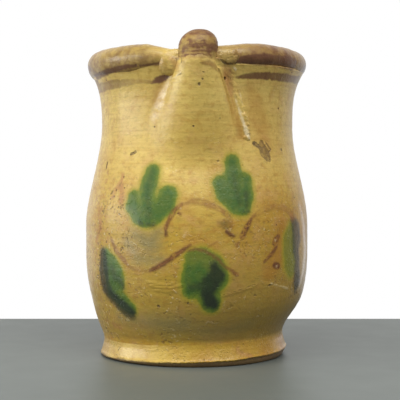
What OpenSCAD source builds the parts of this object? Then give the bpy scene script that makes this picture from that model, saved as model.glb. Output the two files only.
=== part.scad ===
// Glazed earthenware puzzle jug, built from the clay pieces that a potter throws and lutes together.
// The nozzle faces -Y, the hollow handle is at +Y, and the foot stands on Z = 0. Millimetres.

/* [Foot] */
// Largest radius of the flared foot
foot_r = 60.4; // [52:0.1:66]
// Radius of the face that stands on the table
foot_stand_r = 58.6; // [50:0.1:64]
// Height where the foot reaches its largest radius
foot_swell_z = 3.5; // [2:0.1:4.5]
// Height where the foot starts to draw in
foot_draw_z = 6.5; // [5:0.1:8]
// Height of the foot, up to the waist where the pot stands on it
foot_h = 12.5; // [9:0.5:18]
// Width of the clay ring that widens the pot's base into the foot
foot_ring_w = 11; // [8:0.5:16]

/* [Pot] */
// Radius of the waist above the foot
waist_r = 58; // [50:0.1:62]
// Largest radius of the belly
belly_r = 72.6; // [64:0.1:84]
// Height where the belly reaches its largest radius
belly_low_z = 70; // [60:1:78]
// Height where the belly starts to draw in
belly_high_z = 84; // [80:1:92]
// Thickness of the thrown wall
wall = 5.5; // [4:0.1:7]
// Thickness of clay left under the inside, above the foot
floor_t = 2; // [1:0.5:6]

/* [Neck] */
// Radius of the neck at its narrowest
neck_r = 62.4; // [56:0.1:66]
// Height where the neck is narrowest
neck_z = 149; // [145:1:154]
// Outer radius of the flared lip that carries the rim
lip_r = 69.2; // [66:0.1:76]
// Height of the flared lip
lip_z = 183; // [176:1:190]

/* [Rim] */
// Radius of the hollow rim tube
rim_tube_r = 7.5; // [6:0.1:8.5]
// Radius of the passage inside the rim tube
rim_bore_r = 3.8; // [2.5:0.1:4.2]
// Angle up the side of the rim tube where the lip meets it
seat_angle = 44; // [35:1:55]
// Angle from the nozzle where each rim arm ends
arm_end_angle = 18; // [16:0.5:19]
// Radius of the clay pads that join the arms to the nozzle
pad_r = 8.4; // [8:0.1:9.5]
// How far the pads sink below the rim's centre line
pad_drop = 1.6; // [0:0.1:2]

/* [Spout] */
// Radius of the drinking nozzle
nozzle_r = 12; // [10:0.1:14]
// Height of the nozzle above the lip
nozzle_h = 20.5; // [18:0.5:26]
// Height of the nozzle's rounded top
nozzle_dome_h = 10; // [6:0.5:14]
// How far the nozzle stands in front of the rim's centre line
nozzle_forward = 2.4; // [0:0.1:4]
// Radius of the bore to drink from
drink_bore_r = 4; // [3:0.1:5]
// Radius of the chamber where the passages meet
chamber_r = 8; // [7:0.1:9]
// Height of the chamber
chamber_h = 9.6; // [9.2:0.1:11]
// Wall of the duct below the nozzle
duct_wall = 4; // [3:0.1:5]
// Lowest point of the duct
duct_low_z = 124; // [116:1:132]
// Radius of the duct at its lowest point
duct_low_r = 37; // [28:0.5:44]
// Radius of the clay coils that seal the duct to the neck
coil_r = 4.2; // [3:0.1:5]
// Height of the upper end of the coils
coil_high_z = 180; // [176:0.5:182]
// Height of the lower end of the coils
coil_low_z = 142; // [138:0.5:150]
// Radius of the vents to cover with a finger
vent_r = 1.2; // [0.8:0.1:1.6]
// Height of the vent beside the nozzle
vent_z = 174; // [168:0.5:178]
// Gap between that vent and the corner where the duct's inside meets the neck
vent_gap = 1.3; // [1:0.1:4]
// Radius of the hole that feeds the duct from the neck
feed_r = 4; // [3:0.1:5]
// Height of the hole that feeds the duct
feed_z = 158; // [152:1:164]

/* [Handle] */
// Radius of the hollow handle
handle_r = 10; // [8:0.1:12]
// Radius of the passage inside the handle
handle_bore_r = 4.5; // [3:0.1:5]
// How far the handle's centre line stands behind the rim's
handle_reach = 44; // [38:0.5:54]
// Radius of the handle's upper bend
bend_r = 26; // [20:0.5:30]
// Height of the handle's lower end
root_z = 98; // [92:1:106]
// Distance from the handle's lower end to the pot's wall
root_stand = 11; // [8:0.5:14]
// Angle round the upper bend of the hidden vent on its inner side
thumb_angle = 45; // [20:1:70]
// Radius of the clay ball that joins handle and rim
crown_r = 12.5; // [11.5:0.1:14]
// Radius of the clay collar that joins handle and pot, at the wall
root_r = 13; // [12:0.1:15]

/* [Siphon] */
// Radius of the pipe inside the pot
siphon_r = 6; // [5:0.1:7]
// Radius of the passage inside the pipe
siphon_bore_r = 3.5; // [2.5:0.1:4]
// Gap between the pipe's mouth and the floor
siphon_lift = 7; // [4:0.5:10]
// Gap between the pipe's lower end and the wall
siphon_gap = 1.5; // [1:0.1:4]
// Height above the floor of the clay brace that holds the pipe
brace_lift = 30; // [20:1:40]
// Radius of the brace
brace_r = 4.5; // [3.5:0.1:6]

/* [Hidden] */
$fn = 64;

// Shape of the outline's curves
belly_power = 2.3;
flare_power = 3;
// Steps in each stretch of the outline
belly_steps = 14;
shoulder_steps = 16;
neck_steps = 12;
dome_steps = 8;
// A cut runs this far past the face that it opens
past = 1;

// Places that several pieces share are kept to a hundredth of a millimetre
function tidy(size) = round(size * 100) / 100;

// Heights and places worked out from the sizes above
floor_z = foot_h + floor_t;
rim_ring_r = tidy(lip_r - rim_tube_r * cos(seat_angle));
rim_z = tidy(lip_z + rim_tube_r * sin(seat_angle));
nozzle_y = -rim_ring_r - nozzle_forward;
pad_angle = (arm_end_angle + asin(nozzle_r / rim_ring_r)) / 2;
foot_hole_r = foot_stand_r - foot_ring_w;

// Outer radius of the thrown wall at height z
function outer_r(z) =
    z < belly_low_z ? belly_r - (belly_r - waist_r) * pow((belly_low_z - z) / (belly_low_z - foot_h), belly_power)
    : z < belly_high_z ? belly_r
    : z < neck_z ? belly_r - (belly_r - neck_r) * ease((z - belly_high_z) / (neck_z - belly_high_z))
    : neck_r + (lip_r - neck_r) * pow((z - neck_z) / (lip_z - neck_z), flare_power);
function ease(t) = t * t * (3 - 2 * t);
function inner_r(z) = outer_r(z) - wall;
function steps(from, to, count) = [for (i = [0:count]) from + (to - from) * i / count];

// The duct is a leaning cone: its centre and radius at height z
duct_low_y = -(outer_r(duct_low_z) - duct_low_r);
function duct_share(z) = (lip_z - z) / (lip_z - duct_low_z);
function duct_y(z) = nozzle_y + (duct_low_y - nozzle_y) * duct_share(z);
function duct_r(z) = nozzle_r + (duct_low_r - nozzle_r) * duct_share(z);

// Where the duct, drawn in by an inset, meets the neck at height z on the side of positive X
function seam_y(z, inset) =
    (pow(outer_r(z), 2) - pow(duct_r(z) - inset, 2) + pow(duct_y(z), 2)) / (2 * duct_y(z));
function seam(z, inset = 0) = [sqrt(pow(outer_r(z), 2) - pow(seam_y(z, inset), 2)), seam_y(z, inset), z];

// Angle round the duct, from its front, of the vent that keeps clear of the corner inside
vent_corner = seam(vent_z, duct_wall);
corner_angle = atan2(vent_corner[0], duct_y(vent_z) - vent_corner[1]);
vent_angle = tidy(corner_angle - (vent_r + vent_gap) / (duct_r(vent_z) - duct_wall) * 180 / PI);

// The handle runs straight back from the rim, turns down in the upper bend, and sweeps
// back towards the pot on one larger arc, which ends in front of the wall
handle_y = rim_ring_r + handle_reach;
bend_y = handle_y - bend_r;
bend_z = rim_z - bend_r;
sweep_in = handle_y - outer_r(root_z) - root_stand;
sweep_down = bend_z - root_z;
sweep_r = tidy((pow(sweep_in, 2) + pow(sweep_down, 2)) / (2 * sweep_in));
sweep_angle = atan2(sweep_down, sweep_r - sweep_in);
sweep_end = [0, handle_y - sweep_r * (1 - cos(sweep_angle)), bend_z - sweep_r * sin(sweep_angle)];

// The handle's root carries on in the same direction until it meets the wall
root_length = root_stand / sin(sweep_angle);
passage_z = tidy(sweep_end[2] - root_length * cos(sweep_angle));

// The siphon pipe stands close to the wall at its lower end
siphon_low_z = floor_z + siphon_lift;
siphon_y = tidy(inner_r(siphon_low_z) - siphon_gap - siphon_r);
brace_z = floor_z + brace_lift;

// Solid of the thrown form between two heights, out to the wall's outer or inner face
module outer_form(heights) {
    rotate_extrude()
        polygon(concat([[0, heights[0]]], [for (z = heights) [outer_r(z), z]], [[0, heights[len(heights) - 1]]]));
}

module inner_form(heights) {
    rotate_extrude()
        polygon(concat([[0, heights[0]]], [for (z = heights) [inner_r(z), z]], [[0, heights[len(heights) - 1]]]));
}

belly_heights = steps(foot_h, belly_low_z, belly_steps);
shoulder_heights = steps(belly_high_z, neck_z, shoulder_steps);
flare_heights = [for (i = [1:neck_steps]) neck_z + (lip_z - neck_z) * i / neck_steps];
pot_heights = concat(belly_heights, shoulder_heights, flare_heights);
low_heights = concat(belly_heights, shoulder_heights);
high_heights = concat(shoulder_heights, flare_heights);

// Inside of the pot above its floor
module pot_inside() {
    inner_form(concat([floor_z], [for (z = pot_heights) if (z > floor_z) z]));
}

// Ring of round section about the jug's axis, at the height of the rim
module rim_ring(radius, angle = 360) {
    translate([0, 0, rim_z])
        rotate_extrude(angle = angle)
            translate([rim_ring_r, 0])
                circle(radius);
}

// Room that the nozzle takes from a given height up
module nozzle_post(from_z) {
    translate([0, nozzle_y, from_z])
        cylinder(r = nozzle_r, h = lip_z + nozzle_h - from_z);
}

// Everything below the nozzle and inside its radius stays with the neck
module rim_seat() {
    difference() {
        rim_ring(rim_tube_r);
        nozzle_post(0);
    }
}

// Leaning cone from the duct's lowest point to a given height, drawn in by an inset
module duct_cone(inset, high_z) {
    lean = (nozzle_y - duct_low_y) / (lip_z - duct_low_z);
    multmatrix([[1, 0, 0, 0],
                [0, 1, lean, duct_low_y],
                [0, 0, 1, duct_low_z],
                [0, 0, 0, 1]])
        cylinder(r1 = duct_low_r - inset, r2 = duct_r(high_z) - inset, h = high_z - duct_low_z);
}

// Thrown form that the duct and its coils lie against
module duct_backing() {
    outer_form(high_heights);
}

// Top of the pot, with the seat for the rim, which the clay pads and the crown fill
module lip_form() {
    difference() {
        outer_form(flare_heights);
        rim_seat();
    }
}

// Straight rod between two points
module rod(from, to, radius) {
    way = to - from;
    translate(from)
        rotate([0, acos(way[2] / norm(way)), atan2(way[1], way[0])])
            cylinder(r = radius, h = norm(way));
}

// Vent through the duct's right flank
module vent() {
    translate([0, duct_y(vent_z), vent_z])
        rotate([0, 0, vent_angle])
            rotate([90, 0, 0])
                cylinder(r = vent_r, h = duct_r(vent_z) + 2 * coil_r);
}

// The three stretches of the handle, each carrying a flat section along the handle's centre line
module handle_back() {
    translate([0, rim_ring_r, rim_z])
        rotate([-90, 0, 0])
            linear_extrude(bend_y - rim_ring_r)
                rotate(-90)
                    children();
}

module handle_bend() {
    translate([0, bend_y, bend_z])
        rotate([90, 0, 90])
            rotate_extrude(angle = 90)
                translate([bend_r, 0])
                    children();
}

module handle_sweep() {
    translate([0, handle_y - sweep_r, bend_z])
        rotate([90, 0, 90])
            rotate_extrude(angle = -sweep_angle)
                translate([sweep_r, 0])
                    children();
}

module handle_section() {
    difference() {
        circle(handle_r);
        circle(handle_bore_r);
    }
}

module crown_ball(radius) {
    translate([0, rim_ring_r, rim_z])
        sphere(radius);
}

// Cone along the direction of the handle's root
module root_run(from_r, to_r, length) {
    translate(sweep_end)
        rotate([180 - sweep_angle, 0, 0])
            cylinder(r1 = from_r, r2 = to_r, h = length);
}

// Passage through the pot's wall at the handle's root
module root_passage() {
    translate([0, siphon_y, passage_z])
        rotate([-90, 0, 0])
            cylinder(r = siphon_bore_r, h = outer_r(passage_z) + past - siphon_y);
}

module foot_ring() {
    color("peru")
        rotate_extrude()
            polygon([[foot_hole_r, 0], [foot_stand_r, 0], [foot_r, foot_swell_z], [foot_r, foot_draw_z],
                     [waist_r, foot_h], [foot_hole_r, foot_h]]);
}

module pot() {
    color("goldenrod")
        difference() {
            union() {
                outer_form(pot_heights);
                cylinder(r = foot_hole_r, h = foot_h);
            }
            pot_inside();
            rim_seat();
            root_passage();
            translate([0, 0, feed_z])
                rotate([90, 0, 0])
                    cylinder(r = feed_r, h = lip_r);
        }
}

// Half of the hollow rim, from its pad round to the crown
module rim_arm(side) {
    difference() {
        rotate([0, 0, side > 0 ? arm_end_angle - 90 : 90])
            rim_ring(rim_tube_r, 180 - arm_end_angle);
        rim_ring(rim_bore_r);
        crown_ball(crown_r);
    }
}

module rim_arm_left() {
    color("darkgoldenrod") rim_arm(-1);
}

module rim_arm_right() {
    color("darkgoldenrod") rim_arm(1);
}

// Ball of clay between the nozzle and the end of the left arm
module pad_ball() {
    rotate([0, 0, -pad_angle - 90])
        translate([rim_ring_r, 0, rim_z - pad_drop])
            sphere(pad_r);
}

module rim_pad() {
    difference() {
        pad_ball();
        rotate([0, 0, -arm_end_angle - 90])
            translate([0, -2 * pad_r, rim_z - 2 * pad_r])
                cube([2 * rim_ring_r, 2 * pad_r, 4 * pad_r]);
        rim_ring(rim_bore_r);
        nozzle_post(lip_z);
        duct_cone(0, lip_z + past);
        lip_form();
    }
}

module rim_pad_left() {
    color("burlywood") rim_pad();
}

module rim_pad_right() {
    color("burlywood") mirror([1, 0, 0]) rim_pad();
}

module nozzle() {
    side_h = nozzle_h - nozzle_dome_h;
    lip_w = nozzle_r - drink_bore_r;
    dome = [for (i = [0:dome_steps]) let (a = 90 * i / dome_steps)
                [drink_bore_r + lip_w * cos(a), side_h + nozzle_dome_h * sin(a)]];
    color("sienna")
        difference() {
            translate([0, nozzle_y, lip_z])
                rotate_extrude()
                    polygon(concat([[chamber_r, 0], [nozzle_r, 0]], dome,
                                   [[drink_bore_r, chamber_h], [chamber_r, chamber_h]]));
            rim_ring(rim_bore_r);
        }
}

module spout_duct() {
    color("goldenrod")
        difference() {
            duct_cone(0, lip_z);
            duct_cone(duct_wall, lip_z);
            duct_backing();
            vent();
        }
}

// Coil of clay along the left edge of the duct
module spout_coil() {
    difference() {
        mirror([1, 0, 0])
            rod(seam(coil_low_z), seam(coil_high_z), coil_r);
        duct_cone(0, lip_z);
        duct_backing();
        pad_ball();
    }
}

module spout_coil_left() {
    color("tan") spout_coil();
}

module spout_coil_right() {
    color("tan")
        difference() {
            mirror([1, 0, 0]) spout_coil();
            vent();
        }
}

module handle() {
    color("goldenrod")
        union() {
            difference() {
                handle_back() handle_section();
                crown_ball(crown_r);
            }
            difference() {
                handle_bend() handle_section();
                translate([0, bend_y, bend_z])
                    rotate([-thumb_angle, 0, 0])
                        cylinder(r = vent_r, h = bend_r);
            }
            handle_sweep() handle_section();
        }
}

module handle_crown() {
    color("burlywood")
        difference() {
            crown_ball(crown_r);
            crown_ball(handle_bore_r);
            rim_ring(rim_bore_r);
            handle_back() circle(handle_bore_r);
            lip_form();
        }
}

module handle_root() {
    reach = root_length + 2 * root_r;
    color("burlywood")
        difference() {
            root_run(handle_r, handle_r + (root_r - handle_r) * reach / root_length, reach);
            root_run(handle_bore_r, handle_bore_r, reach);
            outer_form(low_heights);
        }
}

module siphon_pipe() {
    top_z = passage_z + siphon_r;
    color("tan")
        difference() {
            union() {
                translate([0, siphon_y, siphon_low_z])
                    cylinder(r = siphon_r, h = top_z - siphon_low_z);
                intersection() {
                    translate([0, siphon_y, passage_z])
                        rotate([-90, 0, 0])
                            cylinder(r = siphon_r, h = belly_r - siphon_y);
                    pot_inside();
                }
            }
            translate([0, siphon_y, siphon_low_z - past])
                cylinder(r = siphon_bore_r, h = passage_z + past - siphon_low_z);
            root_passage();
        }
}

module siphon_brace() {
    color("tan")
        difference() {
            intersection() {
                translate([0, siphon_y, brace_z])
                    rotate([-90, 0, 0])
                        cylinder(r = brace_r, h = belly_r - siphon_y);
                pot_inside();
            }
            translate([0, siphon_y, siphon_low_z])
                cylinder(r = siphon_r, h = passage_z - siphon_low_z);
        }
}

foot_ring();
pot();
rim_arm_left();
rim_arm_right();
rim_pad_left();
rim_pad_right();
nozzle();
spout_duct();
spout_coil_left();
spout_coil_right();
handle();
handle_crown();
handle_root();
siphon_pipe();
siphon_brace();
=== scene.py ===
"""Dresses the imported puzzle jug: thrown clay pieces, brushed leaves and a honey-yellow lead glaze."""

import math

import bmesh
import bpy
import numpy as np
from mathutils import Matrix, Vector, noise


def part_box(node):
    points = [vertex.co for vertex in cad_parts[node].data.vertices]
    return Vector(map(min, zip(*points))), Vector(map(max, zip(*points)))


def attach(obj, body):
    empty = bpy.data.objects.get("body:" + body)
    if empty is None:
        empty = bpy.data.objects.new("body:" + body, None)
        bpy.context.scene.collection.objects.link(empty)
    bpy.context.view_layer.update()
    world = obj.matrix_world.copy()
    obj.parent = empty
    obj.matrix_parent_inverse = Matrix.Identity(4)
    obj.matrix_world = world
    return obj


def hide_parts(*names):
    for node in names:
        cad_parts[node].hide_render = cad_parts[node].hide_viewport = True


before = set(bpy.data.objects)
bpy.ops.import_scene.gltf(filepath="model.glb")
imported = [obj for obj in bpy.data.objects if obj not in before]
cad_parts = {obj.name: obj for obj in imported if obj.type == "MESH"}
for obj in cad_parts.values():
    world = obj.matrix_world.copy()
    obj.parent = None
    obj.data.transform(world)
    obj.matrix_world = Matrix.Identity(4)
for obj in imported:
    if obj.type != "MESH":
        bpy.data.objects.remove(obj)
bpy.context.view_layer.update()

bl_info = {
    "name": "Puzzle jug",
    "version": (1, 0, 0),
    "blender": (4, 5, 0),
    "location": "View3D > Sidebar > Jug",
    "description": "Builds a glazed earthenware puzzle jug, piece by piece",
    "category": "Object",
}

MM = 0.001
# Side of the square photograph, in pixels
PHOTO_SIDE = 400
# Where no brush stroke is near, in millimetres
FAR = 60.0
# How far wet strokes run together, and how far off a stroke still counts, in millimetres
POOL = 1.3
POOL_REACH = 15
# Smallest divisor, so that nothing is divided by zero
TINY = 1e-12
# Points closer than this are one point, in metres
WELD = 1e-6
# Distance from one throwing line to the next, in metres: outside, inside and on the nozzle
WALL_LINE = 0.0068
INNER_LINE = 0.0085
NOZZLE_LINE = 0.0021
# Heights of the brown bands that go round under the rim
UPPER_BAND = 0.1852
LOWER_BAND = 0.1766
STROKE_KINDS = ("haze", "amber", "leaf", "dark", "stem", "bare", "band", "pale", "chip_and_shade", "ripple", "gloss")

# Brush strokes read from the photograph, among them painted shade and painted highlights: name, kind,
# how loaded the brush was, and the points that it passes, each as pixel x, pixel y and the stroke's width in
# millimetres
LEFT_LEAF = (
    ("middle lobe", "leaf", 1.0, (
        (152.4, 171.5, 9.4), (149.2, 183, 9.4), (147, 195, 8.6), (147.6, 207, 10.2), (147.4, 219, 9.6))),
    ("left lobe", "leaf", 1.0, ((133, 196.6, 7.6), (133, 206, 8.8), (138.6, 216.5, 8.4), (143, 221, 6.0))),
    ("right lobe", "leaf", 1.0, ((168, 195, 11.4), (164.6, 205, 11.6), (156, 216, 9.6))),
    ("left foot", "dark", 0.7, ((140, 223, 2.8), (142.5, 224.4, 2.4))),
    ("right foot", "dark", 0.8, ((148, 224.4, 2.4), (153, 225, 3.0))),
    ("middle rib", "dark", 0.26, ((151, 172, 3.0), (147.6, 196, 4.2), (149, 216, 4.6))),
)
RIGHT_LEAF = (
    ("middle lobe", "leaf", 1.0, (
        (232, 162, 9.4), (234, 178, 10.6), (237.5, 198, 11.2), (240.5, 208, 8.0))),
    ("left lobe", "leaf", 1.0, ((220.5, 183, 9.2), (226, 193, 10.8), (235, 206, 8.6))),
    ("right lobe", "leaf", 1.0, ((246, 180, 8.2), (246.5, 195, 9.0), (244.5, 208, 7.6))),
    ("right rib", "dark", 0.62, ((246.4, 193, 2.4), (247, 205, 3.2))),
    ("middle rib", "dark", 0.32, ((233.6, 173, 2.0), (236, 190, 3.0), (240, 203, 3.4))),
    ("foot", "dark", 0.85, ((243, 212, 1.8), (248.5, 211.5, 2.4))),
)
ROUND_LEAF = (
    ("top lobe", "leaf", 0.8, (
        (191.5, 257, 8.0), (202, 257.5, 10.5), (213, 264.5, 11.0), (217, 274, 11.5))),
    ("left body", "leaf", 1.0, ((190.5, 268, 8.0), (190.5, 280, 9.6), (190, 291, 9.6))),
    ("middle", "leaf", 1.0, ((200, 267, 11.0), (203, 280, 14.0), (203, 290, 12.0))),
    ("right lobe", "leaf", 1.0, ((216, 272, 12.0), (218, 280, 11.0), (212, 287, 10.5))),
    ("lower lobe", "leaf", 1.0, ((206, 292, 10.5), (210.5, 301, 11.0), (211.5, 306, 9.0))),
    ("right shade", "dark", 0.88, (
        (214, 266, 6.0), (216.5, 276, 11.0), (210, 284, 12.0), (206.5, 293, 9.0))),
    ("left shade", "dark", 0.6, ((190, 287.5, 5.0), (197, 287.5, 6.0), (205, 284, 5.0))),
    ("lower shade", "dark", 0.95, ((207, 294, 7.4), (210.5, 302, 9.4), (214, 305, 7.0))),
)
LEFT_EDGE_LEAF = (
    ("blade", "leaf", 1.0, (
        (106.6, 254, 7.0), (110, 264, 12.0), (113.6, 274, 15.0), (115, 282, 14.0), (112, 290, 9.0))),
    ("tail", "leaf", 1.0, ((114, 293, 8.0), (122.6, 301, 8.6), (131, 308.5, 8.0))),
    ("spine", "dark", 0.9, (
        (103.4, 252.5, 8.0), (104, 262, 10.4), (104, 274, 10.4), (105.4, 285, 10.4), (110.4, 294.6, 10.0),
        (119.4, 303.6, 9.6), (131.2, 313.4, 9.0))),
    ("blade shade", "dark", 0.45, ((112, 267, 4.0), (115, 277, 6.0), (121, 281, 4.6))),
    ("blade tip", "dark", 0.8, ((122, 282, 2.8), (123.4, 287.6, 3.0))),
)
RIGHT_EDGE_LEAF = (
    ("blade", "leaf", 0.5, (
        (291, 228, 6.0), (289.8, 238, 10.0), (289.8, 252, 11.4), (290.6, 264, 10.6), (291.4, 271, 7.0))),
    ("spine", "dark", 0.85, (
        (292.6, 219.6, 5.0), (296, 227.5, 11.0), (297, 238, 12.6), (296.2, 249, 9.0), (297.6, 259, 7.4),
        (297.2, 269, 9.0), (297.4, 281, 11.4), (296, 289, 6.0))),
)
STEMS = (
    ("left leaf stem", "stem", 0.85, (
        (182.4, 204.3, 2.4), (176, 208.8, 2.8), (170, 218, 3.0), (165.8, 228, 2.6))),
    ("left leaf stem end", "stem", 1.0, ((165.6, 229, 1.8), (166.2, 235.4, 2.2))),
    ("knot", "stem", 0.9, ((178.6, 212.6, 1.7), (180.2, 214.4, 1.7))),
    ("middle arc start", "stem", 0.42, ((186, 203.5, 2.2), (193, 201, 4.2), (199, 201.4, 4.6))),
    ("middle arc", "stem", 0.58, (
        (197, 201.2, 3.8), (206, 203.4, 4.4), (214, 206.2, 3.4), (221, 209.8, 3.0), (227, 214.4, 3.0),
        (230.6, 220.4, 2.6), (231.6, 227, 2.2))),
    ("middle arc knot", "stem", 0.95, ((226.6, 231.6, 2.4), (229.6, 234, 2.8), (234, 236.4, 1.8))),
    ("green smear", "dark", 0.5, ((219.6, 222.6, 3.0), (224.6, 224, 5.2), (226, 228, 3.2))),
    ("right leaf stem", "stem", 1.0, (
        (252.6, 217, 1.6), (249, 223.4, 2.8), (245.6, 230, 3.4), (242.4, 236.6, 3.2))),
    ("right leaf stem end", "stem", 0.65, ((238.6, 243, 2.2), (237, 245.4, 2.6))),
    ("right arc", "stem", 0.38, (
        (253.6, 216.6, 2.2), (262.6, 210, 3.4), (274, 206.2, 3.8), (285, 208, 4.4), (291, 213, 4.8),
        (295.4, 217.6, 4.0))),
    ("garland start", "stem", 0.7, (
        (111.2, 238.8, 2.2), (116, 250.3, 2.8), (123.6, 259.5, 3.2), (129.7, 267, 2.2))),
    ("garland low", "stem", 0.34, ((129.7, 267, 2.2), (137.4, 270.3, 2.2), (146, 271.4, 2.4))),
    ("garland", "stem", 0.92, (
        (149.5, 271, 2.2), (153.5, 269, 3.2), (164.2, 263.3, 3.4), (175.6, 255, 3.4), (184, 249.4, 2.8),
        (190.4, 245.2, 1.8))),
    ("round leaf stem", "stem", 0.8, (
        (187, 251, 1.2), (194.6, 249.2, 1.7), (203, 250.4, 1.8), (210, 253.6, 2.0), (219, 260, 2.0),
        (224.5, 266.6, 1.8), (232.6, 271, 2.2))),
    ("round leaf knot", "stem", 0.85, ((233.4, 272.4, 2.4), (237, 274.6, 2.6))),
    ("right hook", "stem", 0.95, ((278.4, 236.6, 3.2), (276, 240, 4.6), (275, 243, 4.0))),
    ("right hook end", "stem", 0.9, (
        (276.4, 247, 2.2), (273, 252, 2.6), (268.6, 257.6, 2.4), (264, 262, 1.6))),
    ("right dot", "stem", 1.0, ((275, 265.2, 4.2), (278, 265.8, 4.2))),
    ("thin line", "stem", 0.6, ((208.6, 246.6, 0.7), (217, 241.8, 0.9))),
)
RIGHT_BANDS = (
    ("lower band start", "band", 0.92, (
        (236, 77.4, 0.8), (244, 76.4, 2.8), (255, 75.6, 4.4), (268, 75.8, 5.4))),
    ("lower band", "band", 0.8, ((272, 76, 5.4), (285, 77.4, 5.6), (298, 79.6, 5.6))),
    ("upper band start", "band", 0.95, (
        (236.6, 62, 1.2), (242, 59.6, 4.4), (255, 59.4, 7.0), (270, 60.2, 7.6))),
    ("upper band", "band", 0.84, ((274, 60.8, 7.6), (285, 62.2, 8.2), (294, 64.4, 8.6))),
)
LEFT_BANDS = (
    ("lower band end", "band", 1.0, ((169, 75.8, 1.6), (164, 77.8, 4.0), (158, 80, 4.2), (151.4, 83, 1.6))),
    ("lower band thin", "band", 0.28, ((150, 81.6, 2.2), (137, 81.8, 3.0), (131, 82, 3.8))),
    ("lower band faint", "band", 0.45, ((130, 82.2, 4.0), (123, 82.8, 4.8))),
    ("lower band", "band", 0.6, ((119, 83.4, 5.2), (110, 85.2, 5.8), (104, 87, 5.8), (97, 90, 5.8))),
    ("upper band thin", "band", 0.85, (
        (166.6, 61.6, 2.8), (162, 63, 3.0), (150, 64.6, 2.2), (140, 65.6, 1.8))),
    ("upper band", "band", 0.9, (
        (136, 66, 1.6), (127, 66.4, 3.0), (119, 68.4, 4.0), (108, 71.6, 4.0), (96, 76.6, 4.4))),
)
STAINS_AND_SHADE = (
    ("collar stain", "stem", 0.55, ((203, 62.6, 2.4), (209, 63, 3.6), (215, 66.4, 3.4), (218.6, 71, 2.0))),
    # Painted shade under the head of the right coil.
    ("coil head shade", "stem", 0.75, ((229.6, 70, 1.2), (232, 72.6, 1.4), (236, 73, 1.0))),
)
CHIPS_AND_SHADE = (
    ("neck chip", "chip_and_shade", 1.0, ((130.8, 154.2, 1.3), (135, 152.4, 1.5))),
    ("edge chip", "chip_and_shade", 1.0, ((107.4, 162.8, 1.6), (106.4, 168, 1.7))),
    ("flake", "chip_and_shade", 0.66, (
        (261.6, 142.6, 3.0), (262.6, 148, 6.0), (265, 153, 7.4), (267.6, 157, 5.6), (269.6, 160, 2.4))),
    ("flake spur", "chip_and_shade", 0.95, ((254, 143.6, 2.6), (258, 146, 2.2), (261, 149, 2.4))),
    ("flake streak", "chip_and_shade", 1.0, ((263, 144, 0.8), (265.4, 150, 1.2), (268.6, 157, 1.0))),
    ("flake tail", "chip_and_shade", 1.0, ((265.6, 142, 1.0), (270.6, 149.6, 1.2))),
    ("right speck", "chip_and_shade", 1.0, ((281.2, 149.8, 1.4), (281.6, 150, 1.4))),
    ("leaf speck", "chip_and_shade", 1.0, ((217.6, 161, 1.4), (218.4, 161, 1.4))),
    ("duct speck low", "chip_and_shade", 1.0, ((199, 83.8, 1.1), (199.2, 84.4, 1.1))),
    ("duct speck", "chip_and_shade", 1.0, ((202.4, 78.8, 0.8), (202.6, 79.2, 0.8))),
    ("duct speck high", "chip_and_shade", 1.0, ((203.4, 72, 0.9), (203.8, 72.2, 0.9))),
    ("foot speck", "chip_and_shade", 1.0, ((158.4, 306.2, 1.5), (159.4, 306.6, 1.4))),
    ("middle speck", "chip_and_shade", 1.0, ((187.6, 303, 1.0), (188.2, 303.2, 1.0))),
    ("low speck", "chip_and_shade", 1.0, ((254.6, 295.4, 1.0), (255.4, 295.4, 1.0))),
    ("lower speck", "chip_and_shade", 1.0, ((259, 316, 0.9), (260.2, 316.4, 0.9))),
    ("blister", "chip_and_shade", 1.0, ((269, 285.4, 1.0), (270.6, 285, 1.0))),
    # Painted shade: the vent's hole, the groove under the right pad, the gap beside the nozzle, the hollow at
    # the left lobe's end and the line under the left ridge.
    ("vent", "chip_and_shade", 1.0, ((224, 77.4, 1.5), (224.2, 78, 1.5))),
    ("right groove", "chip_and_shade", 0.9, ((219.5, 57, 0.9), (222, 61.5, 1.2), (227, 63.4, 1.3), (236, 62.8, 0.9))),
    ("left gap", "chip_and_shade", 0.75, ((181, 52, 0.7), (181.4, 62, 0.7))),
    ("left hollow", "chip_and_shade", 0.7, ((163, 62.4, 1.2), (167, 60.8, 1.8))),
    ("left ridge", "chip_and_shade", 0.45, ((170, 81, 0.6), (181, 74, 0.6))),
    ("crack", "chip_and_shade", 0.6, (
        (223, 295.4, 0.35), (233, 292.4, 0.4), (245, 288.6, 0.4), (251, 286, 0.7), (256, 284.6, 0.5))),
)
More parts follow.
